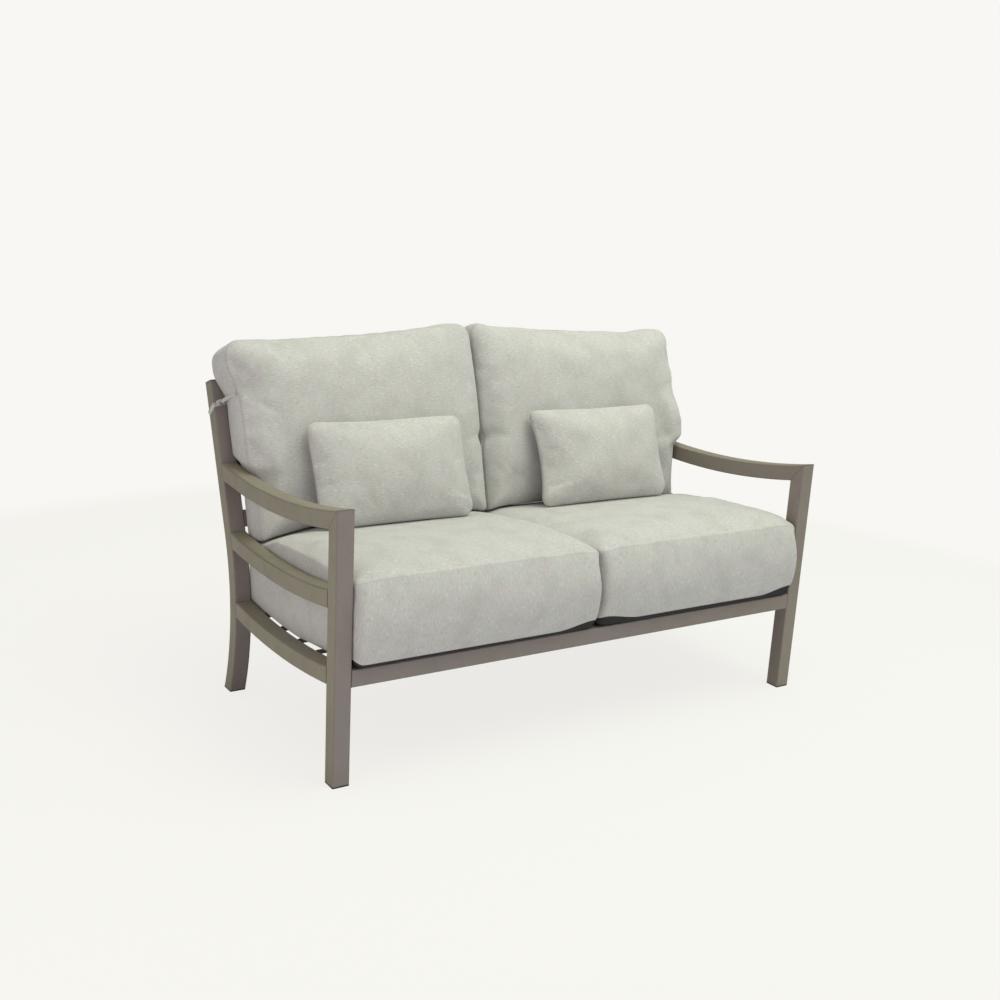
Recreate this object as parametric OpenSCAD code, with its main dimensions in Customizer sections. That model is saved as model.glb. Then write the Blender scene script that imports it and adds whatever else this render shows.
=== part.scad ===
// Two-seat metal-framed loveseat with loose seat, back and lumbar cushions.
// Millimetres. X runs across the seat, the front faces -Y, Z is up, and the
// origin is on the floor under the middle of the whole piece.

/* [Frame] */
// Width over the outer faces of the posts
frame_w = 1350; // [1200:10:1600]
// Side of the square steel tube
tube = 40; // [34:1:44]
// Wall of the square tube
tube_wall = 2; // [1.5:0.5:3]
// Rounding along the tube's outer corners
tube_round = 3; // [2.5:0.5:5]
// Height of the arms at the front posts
arm_h = 613; // [580:1:650]
// Drop of the front seat rail's top face below the lower rails that meet it
front_rail_drop = 1.3; // [0.5:0.1:5]
// Side of the smaller tube of the centre bars
bar = 25; // [20:1:30]

/* [Side rails] */
// Radius of the sag along the top faces of the side rails
sag_r = 2080; // [1800:10:2600]
// Distance of the arm's lowest point behind the front faces
arm_low_y = 442.6; // [400:1:470]
// Distance of the middle rail's lowest point behind the front faces
mid_low_y = 384.2; // [340:1:420]
// Lowest height of the middle rail's top face
mid_low_z = 407; // [380:1:430]
// Distance of the lower rail's lowest point behind the front faces
lower_low_y = 366.5; // [340:1:400]
// Lowest height of the lower rail's top face
lower_low_z = 240.5; // [225:0.5:244]

/* [Back posts] */
// Radius of the bent lower part along its front face
post_r = 604.7; // [560:1:700]
// Distance of the posts' foremost point behind the front faces
post_front_y = 553.3; // [530:1:600]
// Height of the posts' foremost point
post_front_z = 216.9; // [190:1:240]
// Backward lean of the straight upper part in degrees
lean = 19.3; // [12:0.1:24]
// Length of the straight upper part with its cap
post_straight = 372; // [330:1:420]
// Start of the lower back rail above the bend, along the post
back_rail_start = 12; // [6:1:40]

/* [Webbing] */
// Width of a strap
strap_w = 28; // [20:1:36]
// Thickness of a strap
strap_t = 2.2; // [1.5:0.1:3]
// Length of the strap end turned against the frame
strap_flap = 32; // [20:1:36]
// Centre of the first seat strap behind the front faces
strap_first = 68; // [60:1:74]
// Spacing of the seat straps
strap_pitch = 97.5; // [80:0.5:102]

/* [Feet and caps] */
// Thickness of the foot glides under the posts
glide_t = 3; // [2:0.5:6]
// Thickness of the caps on the back posts
cap_t = 2.5; // [2:0.5:5]
// Depth of a glide's or a cap's plug in its tube
plug_depth = 18; // [10:1:25]
// Clearance of a plug in its tube
plug_gap = 0.2; // [0.1:0.1:0.5]

/* [Seat cushions] */
// Depth of a seat cushion from its front seam to its rear seam
seat_depth = 572; // [520:1:576]
// Overhang of the front seam before the front posts
seat_overhang = 5; // [0:1:12]
// Height of the top seam at the front
seat_seam_h = 458; // [440:1:470]
// Fall of the top seam towards the rear
seat_fall = 44; // [20:1:60]
// Rise of the top panel above its seam
seat_crown = 18; // [8:1:28]
// Swell of the front boxing
seat_swell = 21; // [8:1:26]
// Pull of the seams between the corners
seat_draw = 3; // [0:1:10]
// Rounding of the cushion's corners seen from above
seat_corner = 22; // [20:1:60]

/* [Back cushions] */
// Height of a back cushion along its lean
back_h = 459; // [430:1:500]
// Thickness at the seams near the bottom
back_low_t = 60; // [50:1:72]
// Thickness at the seams near the top
back_top_t = 90; // [76:1:104]
// Depth of the front panel's rolled edge
back_roll = 42; // [30:1:48]
// Rise of the front panel above its rolled edge
back_crown = 20; // [10:1:26]
// Reach of a back cushion past its own width above the arm
back_ear = 30; // [0:1:38]
// Rise of a back cushion's inner top corner above its outer one
back_peak = 30; // [0:1:34]
// Depth of the pinch that the ties pull into the sides
back_pinch = 10; // [0:1:24]
// Swell of the top and side boxing
back_swell = 6; // [3:1:14]
// Pull of the seams between the corners
back_draw = 4; // [0:1:12]
// Rounding of the panel's top corners
back_corner = 40; // [30:1:70]
// Rounding of the panel's bottom corners
back_foot_corner = 18; // [12:1:40]

/* [Lumbar pillows] */
// Width of a pillow between its corners
pillow_w = 424; // [360:2:460]
// Height of a pillow between its corners
pillow_h = 262; // [220:2:280]
// Thickness of a pillow at its middle
pillow_t = 92; // [60:2:96]
// Backward lean of the pillows in degrees
pillow_lean = 22; // [20:0.5:24]
// Distance of the pillows' bottom seam behind the front faces
pillow_y = 398; // [380:1:400]
// Distance of the left pillow's middle from the loveseat's middle
left_pillow_x = 312; // [250:1:380]
// Distance of the right pillow's middle from the loveseat's middle
right_pillow_x = 318; // [250:1:380]
// Pull of the pillow seams between the corners
pillow_draw = 4; // [0:1:20]

/* [Ties] */
// Height of a tie along the straight part of its post
tie_height = 306; // [260:1:320]
// Width of the tie tape
tie_w = 13; // [8:1:18]
// Thickness of the tie tape
tie_t = 1.6; // [1:0.1:2.5]
// Slant of the tape round the post in degrees
tie_slant = 20; // [0:1:25]
// Radius of the knot
tie_knot = 5; // [4:0.5:5.5]

/* [Fits] */
// Clearance between a cushion and what it rests on or against
soft_gap = 0.4; // [0.3:0.1:1]
// Clearance between a back cushion and the arm beside it
arm_gap = 3; // [2.5:0.1:6]

/* [Hidden] */
round_fn = 48;
bend_fn = 720;
over = 1;
inner_w = frame_w - 2 * tube;
side_x = frame_w / 2 - tube / 2;
post_axis_y = post_front_y + post_r;
tangent_y = post_axis_y - post_r * cos(lean);
tangent_z = post_front_z + post_r * sin(lean);
post_tube_end = post_straight - cap_t;
arm_low_z = arm_h - sag_r + sqrt(sag_r * sag_r - arm_low_y * arm_low_y);
arm_inner_z = sag_z(arm_low_y, arm_low_z, tube, tube);
mitre_slope = (arm_inner_z - arm_h) / tube;
front_rail_top = lower_z(tube) - front_rail_drop;
rear_rail_top = lower_z(post_front_y);
back_strap_room = post_straight - tube - (back_rail_start + tube);
back_strap_pitch = back_strap_room / 5;

// Plan of every cushion: corner points, side points and the ring levels
corner_points = 4;
side_points = 8;
seat_half_w = (inner_w / 2 - 2 * soft_gap) / 2;
seat_half_d = seat_depth / 2;
seat_mid_x = inner_w / 4;
seat_mid_y = seat_half_d - seat_overhang;
seat_side_swell = 2;
seat_edge_lift = 17;
seat_ear_drop = 8;
seat_fall_power = 2.6;
back_half_w = (inner_w / 2 - soft_gap - arm_gap) / 2;
back_half_h = back_h / 2;
back_mid_x = soft_gap + back_half_w;
back_base_z = seat_top_z(0, tangent_y) + soft_gap;
back_pinch_q = (tangent_z + tie_height * cos(lean) - back_base_z) / cos(lean);
back_pinch_reach = 36;
back_rear_edge = 14;
back_settle = 170;
ear_start_z = sag_z(arm_low_y, arm_low_z, 0, tangent_y) + 14;
ear_rise = 40;
pillow_corner = 18;
tie_knot_flat = 0.75;
pillow_rest_x = pillow_w / 2 - pillow_corner;
pillow_corner_lift = pillow_draw * (1 - pow(2 * pillow_rest_x / pillow_w, 2)) * cos(pillow_lean);
pillow_base_z = seat_top_z(pillow_rest_x, pillow_y) + soft_gap - pillow_corner_lift
    + seat_rise(pillow_y) * (1 - pow(pillow_rest_x / seat_half_w, 5));

// Offset that brings the middle of the whole depth to the origin
front_reach = min([for (ring = seat_rings()) for (p = ring) p[1]]);
rear_reach = tangent_y + post_straight * sin(lean) + tube * cos(lean);
shift_y = -(front_reach + rear_reach) / 2;

// Curves that the pieces share

// Height of a sagging rail's face at y; depth is how far the face lies under the top face
function sag_z(low_y, low_z, depth, y) =
    low_z + sag_r - sqrt((sag_r + depth) * (sag_r + depth) - (y - low_y) * (y - low_y));

// Height of the lower rails' top faces at y
function lower_z(y) = sag_z(lower_low_y, lower_low_z, 0, y);

// Distance of the back posts' front face behind the front faces at height z
function back_line_y(z) = tangent_y + (z - tangent_z) * tan(lean);

// Smooth step from 0 to 1
function ease(t) = let (c = min(1, max(0, t))) c * c * (3 - 2 * c);

// Cushion outlines: each item holds a point and the outward direction there

function corner_sign(k) = [k == 0 || k == 3 ? 1 : -1, k < 2 ? 1 : -1];

function corner_point(a, b, radii, k, angle) =
    let (r = radii[k < 2 ? 0 : 1])
    [corner_sign(k)[0] * (a - r) + r * cos(angle), corner_sign(k)[1] * (b - r) + r * sin(angle)];

// radii holds the rounding of the far corners and of the near ones
function outline(a, b, radii) = [
    for (k = [0:3]) each concat(
        [for (j = [0:corner_points - 1])
            let (angle = 90 * k + 90 * j / (corner_points - 1))
            concat(corner_point(a, b, radii, k, angle), [cos(angle), sin(angle)])],
        [for (j = [1:side_points])
            let (angle = 90 * (k + 1),
                 start = corner_point(a, b, radii, k, angle),
                 end = corner_point(a, b, radii, (k + 1) % 4, angle),
                 t = j / (side_points + 1))
            concat(start + (end - start) * t, [cos(angle), sin(angle)])])
];

// Outline point scaled towards the middle, with the sides drawn in between the corners
function drawn(item, a, b, scale, draw) = [
    scale * (item[0] - draw * item[2] * (1 - pow(item[1] / b, 2))),
    scale * (item[1] - draw * item[3] * (1 - pow(item[0] / a, 2)))
];

// Seat cushion surface, with x from the cushion's middle and y from the front faces

function seat_rise(y) = seat_crown * (1 - 0.8 * pow(max(0, y) / seat_depth, 2));

function seat_top_z(x, y) =
    seat_seam_h - seat_fall * pow(max(0, y) / seat_depth, seat_fall_power)
    - seat_ear_drop * pow(min(1, abs(x) / seat_half_w), 8);

function seat_under_z(y) = lower_z(max(tube, y)) + soft_gap;

function seat_under_ring(scale, lift) = [
    for (item = outline(seat_half_w - seat_side_swell, seat_half_d, [seat_corner, seat_corner]))
        let (p = drawn(item, seat_half_w, seat_half_d, scale, seat_draw), y = p[1] + seat_mid_y)
        [p[0], y, seat_under_z(y) + lift]
];

function seat_side_ring(t) = [
    for (item = outline(seat_half_w - seat_side_swell, seat_half_d, [seat_corner, seat_corner]))
        let (p = drawn(item, seat_half_w, seat_half_d, 1, seat_draw),
             y = p[1] + seat_mid_y,
             swell = sin(180 * t),
             low = seat_under_z(y) + seat_edge_lift)
        [p[0] + item[2] * seat_side_swell * swell,
         y + item[3] * (item[3] < 0 ? seat_swell : seat_side_swell) * swell,
         low + (seat_top_z(p[0], y) - low) * t]
];

function seat_top_ring(scale) = [
    for (item = outline(seat_half_w - seat_side_swell, seat_half_d, [seat_corner, seat_corner]))
        let (p = drawn(item, seat_half_w, seat_half_d, scale, seat_draw), y = p[1] + seat_mid_y)
        [p[0], y, seat_top_z(p[0], y) + seat_rise(y) * (1 - pow(scale, 5))]
];

function seat_rings() = concat(
    [for (scale = [0.12, 0.4, 0.64, 0.8, 0.88, 0.93]) seat_under_ring(scale, 0)],
    [seat_under_ring(0.975, seat_edge_lift / 3)],
    [for (t = [0, 0.2, 0.5, 0.8, 1]) seat_side_ring(t)],
    [for (scale = [0.98, 0.93, 0.82, 0.6, 0.25]) seat_top_ring(scale)]);

// Back cushion surface: p across, q up the lean, t forward from the rear panel

function back_edge_t(q) = back_low_t + (back_top_t - back_low_t) * ease(q / (0.75 * back_h));

// Thickness of the front panel at a scale of its outline
function back_front_t(q, scale) =
    back_edge_t(q) + back_roll * pow(1 - pow(scale, 10), 0.6) + back_crown * (1 - pow(scale, 4));

// Pull of the tie on the outer side, which fades from the rear seam, 0, to the front seam, 1
function back_pinch_at(q, across, f) =
    max(0, across) * (1 - 0.75 * f) * back_pinch * exp(-pow((q - back_pinch_q) / back_pinch_reach, 2));

function back_point(p, q, t) =
    let (peak = back_peak * pow((1 - p / back_half_w) / 2, 2) * pow(max(0, q / back_h), 3),
         y = back_line_y(back_base_z) + (q + peak) * sin(lean) - (t + soft_gap) * cos(lean),
         free_z = back_base_z + (q + peak) * cos(lean) + t * sin(lean),
         rest = seat_top_z(0, y) + seat_rise(y) + soft_gap - back_base_z - t * sin(lean),
         z = free_z + rest * pow(max(0, 1 - q / back_settle), 2),
         ear = back_ear * ease((z - ear_start_z) / ear_rise),
         x = p + ear * (p + back_half_w) / (2 * back_half_w))
    [x, y, z];

function back_panel_ring(scale, rear) = [
    for (item = outline(back_half_w - back_swell, back_half_h - back_swell, [back_corner, back_foot_corner]))
        let (p = drawn(item, back_half_w, back_half_h, scale, back_draw),
             q = p[1] + back_half_h,
             t = rear ? back_rear_edge * pow(scale, 8) : back_front_t(q, scale))
        back_point(p[0] - back_pinch_at(q, item[2], rear ? 0 : 1) * pow(scale, 6), q, t)
];

function back_side_ring(f) = [
    for (item = outline(back_half_w - back_swell, back_half_h - back_swell, [back_corner, back_foot_corner]))
        let (p = drawn(item, back_half_w, back_half_h, 1, back_draw),
             swell = back_swell * sin(180 * f),
             q = p[1] + item[3] * swell + back_half_h,
             t = back_rear_edge + (back_edge_t(q) - back_rear_edge) * f)
        back_point(p[0] + item[2] * swell - back_pinch_at(q, item[2], f), q, t)
];

function back_rings() = concat(
    [for (scale = [0.25, 0.6, 0.85, 0.95]) back_panel_ring(scale, true)],
    [for (f = [0, 0.2, 0.5, 0.8, 1]) back_side_ring(f)],
    [for (scale = [0.99, 0.96, 0.9, 0.75, 0.4]) back_panel_ring(scale, false)]);

// Pillow surface: two crowned panels that meet in one seam with pinched corners

function pillow_ring(scale, face) = [
    for (item = outline(pillow_w / 2, pillow_h / 2, [pillow_corner, pillow_corner]))
        let (p = drawn(item, pillow_w / 2, pillow_h / 2, scale, pillow_draw))
        [p[0], p[1] + pillow_h / 2, face * pillow_t / 2 * pow(1 - pow(scale, 2.4), 0.6)]
];

function pillow_rings() = concat(
    [for (scale = [0.2, 0.5, 0.75, 0.9, 0.97]) pillow_ring(scale, -1)],
    [pillow_ring(1, 0)],
    [for (scale = [0.97, 0.9, 0.75, 0.5, 0.2]) pillow_ring(scale, 1)]);

// Closed skin over a stack of rings with equal point counts, listed anticlockwise
function ring_middle(ring) = [for (axis = [0:2]) ([for (p = ring) 1] * [for (p = ring) p[axis]]) / len(ring)];

module skin(rings) {
    n = len(rings[0]);
    m = len(rings);
    sides = [for (k = [0:m - 2]) for (i = [0:n - 1])
        let (j = (i + 1) % n, a = k * n + i, b = k * n + j, c = a + n, d = b + n)
        each [[a, c, d], [a, d, b]]];
    first = [for (i = [0:n - 1]) [m * n, i, (i + 1) % n]];
    last = [for (i = [0:n - 1]) [m * n + 1, (m - 1) * n + (i + 1) % n, (m - 1) * n + i]];
    polyhedron(
        points = concat([for (ring = rings) each ring], [ring_middle(rings[0]), ring_middle(rings[m - 1])]),
        faces = concat(sides, first, last));
}

// Tube sections and sweeps

module rounded_square(side, r) {
    square([side, side - 2 * r], center = true);
    square([side - 2 * r, side], center = true);
    for (x = [-1, 1])
        for (y = [-1, 1])
            translate([x * (side / 2 - r), y * (side / 2 - r)])
                circle(r = r, $fn = round_fn);
}

module tube_section(side) {
    difference() {
        rounded_square(side, tube_round);
        rounded_square(side - 2 * tube_wall, max(0.5, tube_round - tube_wall));
    }
}

// Straight tube along X, centred on the origin
module cross_tube(side, length) {
    rotate([0, 90, 0])
        linear_extrude(length, center = true)
            tube_section(side);
}

// Sagging tube along Y; face_r is the radius of its top face about the shared centre
module sag_tube(low_y, low_z, face_r, side, from_y, to_y) {
    middle_r = face_r + side / 2;
    start = asin((from_y - low_y) / middle_r);
    end = asin((to_y - low_y) / middle_r);
    translate([0, low_y, low_z + sag_r])
        rotate([0, 90, 0])
            rotate([0, 0, start])
                rotate_extrude(angle = end - start, $fn = bend_fn)
                    translate([middle_r, 0])
                        tube_section(side);
}

// Sweeps a centred section along a back post: the bend from the floor, then the leaning part
module post_sweep(straight) {
    foot = asin(post_front_z / (post_r - tube)) + 1;
    translate([0, post_axis_y, post_front_z])
        rotate([0, 90, 0])
            rotate([0, 0, -90 - lean])
                union() {
                    rotate_extrude(angle = lean + foot, $fn = bend_fn)
                        translate([post_r - tube / 2, 0])
                            children();
                    translate([post_r - tube / 2, 0, 0])
                        rotate([90, 0, 0])
                            linear_extrude(straight)
                                children();
                }
}

// Frame of the leaning part: Z runs up the post and Y straight back from its front face
module on_lean(along) {
    translate([0, tangent_y, tangent_z])
        rotate([-lean, 0, 0])
            translate([0, 0, along])
                children();
}

// Everything behind the back posts' front face, between the floor and the post's top
module behind_posts() {
    rise = post_straight * cos(lean);
    rotate([90, 0, 90])
        linear_extrude(tube + 2 * over, center = true)
            union() {
                translate([post_axis_y, post_front_z])
                    circle(r = post_r, $fn = bend_fn);
                polygon([
                    [tangent_y, tangent_z],
                    [tangent_y + rise * tan(lean), tangent_z + rise],
                    [post_axis_y, tangent_z + rise],
                    [post_axis_y, tangent_z]
                ]);
            }
}

// Side rail that butts on the back face of the front post and the front face of the back post
module side_rail(low_y, low_z) {
    difference() {
        sag_tube(low_y, low_z, sag_r, tube, tube / 2, post_front_y + 2 * tube);
        translate([-tube, -over, 0])
            cube([2 * tube, tube + over, arm_h]);
        behind_posts();
    }
}

// Part of the side view on one side of the mitre between front post and arm
module mitre_prism(upper) {
    far = post_front_y + 3 * tube;
    top = arm_h + tube;
    near_z = arm_h - over * mitre_slope;
    points = upper
        ? [[-over, near_z], [far, arm_h + far * mitre_slope], [far, top], [-over, top]]
        : [[-over, near_z], [-over, -over], [2 * tube, -over], [2 * tube, arm_h + 2 * tube * mitre_slope]];
    rotate([90, 0, 90])
        linear_extrude(tube + 2 * over, center = true)
            polygon(points);
}

module front_post() {
    intersection() {
        translate([0, tube / 2, glide_t])
            linear_extrude(arm_h)
                tube_section(tube);
        mitre_prism(false);
    }
}

module arm_rail() {
    difference() {
        intersection() {
            sag_tube(arm_low_y, arm_low_z, sag_r, tube, -tube, post_front_y + 3 * tube);
            mitre_prism(true);
        }
        behind_posts();
    }
}

module back_post() {
    difference() {
        post_sweep(post_tube_end)
            tube_section(tube);
        translate([-tube, post_front_y - tube, glide_t - 3 * tube])
            cube([2 * tube, 4 * tube, 3 * tube]);
    }
}

// Webbing strap seen along its width: flat top, ends turned down against the frame
module strap_profile() {
    bend = strap_t + 1;
    half = inner_w / 2;
    difference() {
        union() {
            translate([-half, -strap_flap])
                square([inner_w, strap_flap - bend]);
            translate([bend - half, -strap_flap])
                square([inner_w - 2 * bend, strap_flap]);
            for (side = [-1, 1])
                translate([side * (half - bend), -bend])
                    circle(r = bend, $fn = round_fn);
        }
        translate([strap_t - half, -strap_flap - over])
            square([inner_w - 2 * strap_t, strap_flap + over - strap_t]);
    }
}

module seat_strap(index) {
    y = strap_first + index * strap_pitch;
    tilt = asin((y - lower_low_y) / sag_r);
    color("#26252a")
        translate([0, y + shift_y, lower_z(y)])
            rotate([tilt, 0, 0])
                translate([0, strap_w / 2, 0])
                    rotate([90, 0, 0])
                        linear_extrude(strap_w)
                            strap_profile();
}

module back_strap(index) {
    centre = back_rail_start + tube + (index + 1) * back_strap_pitch;
    color("#26252a")
        translate([0, shift_y, 0])
            on_lean(centre - strap_w / 2)
                linear_extrude(strap_w)
                    mirror([0, 1, 0])
                        strap_profile();
}

// Places a frame piece on one side and moves it to the shared origin
module steel(x) {
    color("#8a8377")
        translate([x, shift_y, 0])
            children();
}

// Feet, caps and ties

module front_glide() {
    translate([0, tube / 2, 0]) {
        linear_extrude(glide_t)
            rounded_square(tube, tube_round);
        linear_extrude(glide_t + plug_depth)
            rounded_square(tube - 2 * (tube_wall + plug_gap), 1);
    }
}

module back_glide() {
    intersection() {
        post_sweep(tube)
            rounded_square(tube, tube_round);
        translate([-tube, post_front_y - tube, 0])
            cube([2 * tube, 4 * tube, glide_t]);
    }
    intersection() {
        post_sweep(tube)
            rounded_square(tube - 2 * (tube_wall + plug_gap), 1);
        translate([-tube, post_front_y - tube, 0])
            cube([2 * tube, 4 * tube, glide_t + plug_depth]);
    }
}

module post_cap() {
    on_lean(post_tube_end)
        translate([0, tube / 2, 0]) {
            linear_extrude(cap_t)
                rounded_square(tube, tube_round);
            translate([0, 0, -plug_depth])
                linear_extrude(plug_depth + cap_t)
                    rounded_square(tube - 2 * (tube_wall + plug_gap), 1);
        }
}

// Tape wrapped once round the post, higher on the cushion's side, with its knot in front
module tie() {
    wide = 2 * tube;
    on_lean(tie_height)
        translate([0, tube / 2, 0]) {
            intersection() {
                difference() {
                    linear_extrude(wide, center = true)
                        rounded_square(tube + 2 * tie_t, tube_round + tie_t);
                    linear_extrude(wide + over, center = true)
                        rounded_square(tube, tube_round);
                }
                rotate([-tie_slant, -tie_slant / 2, 0])
                    cube([2 * wide, 2 * wide, tie_w], center = true);
            }
            translate([-tube / 4, -tube / 2 - soft_gap - tie_knot_flat * tie_knot, tube / 2 * tan(tie_slant)])
                scale([1, tie_knot_flat, 1])
                    sphere(r = tie_knot, $fn = round_fn);
        }
}

// Soft pieces, built on the right and mirrored to the left

module cloth_piece() {
    color("#c6c5bb")
        translate([0, shift_y, 0])
            children();
}

module seat_cushion() {
    translate([seat_mid_x, 0, 0])
        skin(seat_rings());
}

module back_cushion() {
    translate([back_mid_x, 0, 0])
        skin(back_rings());
}

module pillow(x) {
    translate([x, pillow_y, pillow_base_z])
        rotate([90 - pillow_lean, 0, 0])
            skin(pillow_rings());
}

module left_front_post() { steel(-side_x) front_post(); }
module right_front_post() { steel(side_x) front_post(); }
module left_back_post() { steel(-side_x) back_post(); }
module right_back_post() { steel(side_x) back_post(); }
module left_arm_rail() { steel(-side_x) arm_rail(); }
module right_arm_rail() { steel(side_x) arm_rail(); }
module left_middle_rail() { steel(-side_x) side_rail(mid_low_y, mid_low_z); }
module right_middle_rail() { steel(side_x) side_rail(mid_low_y, mid_low_z); }
module left_lower_rail() { steel(-side_x) side_rail(lower_low_y, lower_low_z); }
module right_lower_rail() { steel(side_x) side_rail(lower_low_y, lower_low_z); }

module front_seat_rail() {
    steel(0)
        translate([0, tube / 2, front_rail_top - tube / 2])
            cross_tube(tube, inner_w);
}

module rear_seat_rail() {
    steel(0)
        translate([0, post_front_y + tube / 2, rear_rail_top - tube / 2])
            cross_tube(tube, inner_w);
}

// Bar under the straps from the front rail to the rear rail
module seat_centre_bar() {
    steel(0)
        difference() {
            sag_tube(lower_low_y, lower_low_z, sag_r + strap_t, bar, tube / 2, post_front_y + bar);
            translate([-bar, -over, 0])
                cube([2 * bar, tube + over, arm_h]);
            translate([-bar, post_front_y, 0])
                cube([2 * bar, tube, arm_h]);
        }
}

module back_lower_rail() {
    steel(0)
        on_lean(back_rail_start + tube / 2)
            translate([0, tube / 2, 0])
                cross_tube(tube, inner_w);
}

module back_top_rail() {
    steel(0)
        on_lean(post_straight - tube / 2)
            translate([0, tube / 2, 0])
                cross_tube(tube, inner_w);
}

// Bar behind the back straps from the lower back rail to the top rail
module back_centre_bar() {
    steel(0)
        on_lean(back_rail_start + tube)
            translate([0, strap_t + bar / 2, 0])
                linear_extrude(back_strap_room)
                    tube_section(bar);
}

module seat_strap_1() { seat_strap(0); }
module seat_strap_2() { seat_strap(1); }
module seat_strap_3() { seat_strap(2); }
module seat_strap_4() { seat_strap(3); }
module seat_strap_5() { seat_strap(4); }
module back_strap_1() { back_strap(0); }
module back_strap_2() { back_strap(1); }
module back_strap_3() { back_strap(2); }
module back_strap_4() { back_strap(3); }

module left_front_glide() { color("#2b2a29") translate([-side_x, shift_y, 0]) front_glide(); }
module right_front_glide() { color("#2b2a29") translate([side_x, shift_y, 0]) front_glide(); }
module left_back_glide() { color("#2b2a29") translate([-side_x, shift_y, 0]) back_glide(); }
module right_back_glide() { color("#2b2a29") translate([side_x, shift_y, 0]) back_glide(); }
module left_post_cap() { steel(-side_x) post_cap(); }
module right_post_cap() { steel(side_x) post_cap(); }
module left_tie() { cloth_piece() translate([-side_x, 0, 0]) tie(); }
module right_tie() { cloth_piece() mirror([1, 0, 0]) translate([-side_x, 0, 0]) tie(); }

module left_seat_cushion() { cloth_piece() mirror([1, 0, 0]) seat_cushion(); }
module right_seat_cushion() { cloth_piece() seat_cushion(); }
module left_back_cushion() { cloth_piece() mirror([1, 0, 0]) back_cushion(); }
module right_back_cushion() { cloth_piece() back_cushion(); }
module left_pillow() { cloth_piece() pillow(-left_pillow_x); }
module right_pillow() { cloth_piece() pillow(right_pillow_x); }

left_front_post();
right_front_post();
left_back_post();
right_back_post();
left_arm_rail();
right_arm_rail();
left_middle_rail();
right_middle_rail();
left_lower_rail();
right_lower_rail();
front_seat_rail();
rear_seat_rail();
seat_centre_bar();
back_lower_rail();
back_top_rail();
back_centre_bar();
seat_strap_1();
seat_strap_2();
seat_strap_3();
seat_strap_4();
seat_strap_5();
back_strap_1();
back_strap_2();
back_strap_3();
back_strap_4();
left_front_glide();
right_front_glide();
left_back_glide();
right_back_glide();
left_post_cap();
right_post_cap();
left_tie();
right_tie();
left_seat_cushion();
right_seat_cushion();
left_back_cushion();
right_back_cushion();
left_pillow();
right_pillow();
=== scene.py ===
"""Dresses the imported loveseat: steel frame, webbing, six stuffed cushions and their ties, in plain studio light."""

from __future__ import annotations

import logging
import math
from dataclasses import dataclass, field
from enum import Enum
from typing import Any, Sequence

import bpy
import numpy as np
from mathutils import Matrix

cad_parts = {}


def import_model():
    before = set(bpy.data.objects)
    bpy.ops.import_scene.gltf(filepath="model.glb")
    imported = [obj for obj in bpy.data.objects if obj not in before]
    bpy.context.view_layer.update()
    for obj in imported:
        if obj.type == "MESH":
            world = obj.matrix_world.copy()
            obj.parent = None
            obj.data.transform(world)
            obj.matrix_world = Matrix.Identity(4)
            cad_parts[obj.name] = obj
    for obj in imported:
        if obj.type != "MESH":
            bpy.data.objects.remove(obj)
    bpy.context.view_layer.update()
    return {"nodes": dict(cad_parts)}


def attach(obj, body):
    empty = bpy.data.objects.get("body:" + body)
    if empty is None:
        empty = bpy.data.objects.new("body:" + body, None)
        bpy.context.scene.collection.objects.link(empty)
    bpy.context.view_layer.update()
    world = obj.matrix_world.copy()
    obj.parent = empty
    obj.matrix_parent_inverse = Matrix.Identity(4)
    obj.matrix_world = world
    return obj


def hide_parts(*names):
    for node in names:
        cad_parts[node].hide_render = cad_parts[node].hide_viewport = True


LOG = logging.getLogger("loveseat")
MM = 0.001
MIRROR = np.array([-1.0, 1.0, 1.0])
Points = np.ndarray
Levels = tuple[tuple[float, ...], tuple[float, ...], tuple[float, ...]]


@dataclass(frozen=True)
class Layout:
    """Frame lines that the cushions rest on, in millimetres; y runs back from the front faces of the posts."""

    frame_w: float = 1350.0
    tube: float = 40.0
    sag_r: float = 2080.0
    arm_h: float = 613.0
    arm_low_y: float = 442.6
    lower_low_y: float = 366.5
    lower_low_z: float = 240.5
    lean: float = math.radians(19.3)
    tangent_y: float = 587.284
    tangent_z: float = 416.762
    shift_y: float = -361.212
    soft_gap: float = 0.4
    arm_gap: float = 1.0

    @property
    def inner_w(self) -> float:
        """Clear width between the side frames."""
        return self.frame_w - 2 * self.tube

    @property
    def side_x(self) -> float:
        """Distance of a side frame's middle from the loveseat's middle."""
        return self.frame_w / 2 - self.tube / 2

    def lower_z(self, y: Points) -> Points:
        """Height of the lower rails' top faces at y."""
        return self.lower_low_z + self.sag_r - np.sqrt(self.sag_r**2 - (y - self.lower_low_y) ** 2)

    def arm_z(self, y: Points) -> Points:
        """Height of the arms' top faces at y."""
        low = self.arm_h - self.sag_r + math.sqrt(self.sag_r**2 - self.arm_low_y**2)
        return low + self.sag_r - np.sqrt(self.sag_r**2 - (y - self.arm_low_y) ** 2)

    def back_y(self, z: Points) -> Points:
        """Place of the back posts' front face at height z."""
        return self.tangent_y + (z - self.tangent_z) * math.tan(self.lean)

    def on_lean(self, x: float, back: float, along: float) -> Points:
        """A point measured back from a post's front face and along its straight part."""
        s, c = math.sin(self.lean), math.cos(self.lean)
        return np.array([x, self.tangent_y + along * s + back * c, self.tangent_z + along * c - back * s])

    def metres(self, points: Points) -> Points:
        """Points in the shared frame, in metres.

        Args:
            points: Points in millimetres, with y from the front faces.

        Returns:
            The same points in metres, about the loveseat's middle.
        """
        return (np.asarray(points, float) + [0.0, self.shift_y, 0.0]) * MM


LAYOUT = Layout()


class Side(Enum):
    """The two halves of the loveseat, by the sign of their x."""

    LEFT = -1.0
    RIGHT = 1.0

    @property
    def word(self) -> str:
        """The side's name as the nodes and bodies spell it."""
        return self.name.lower()


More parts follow.
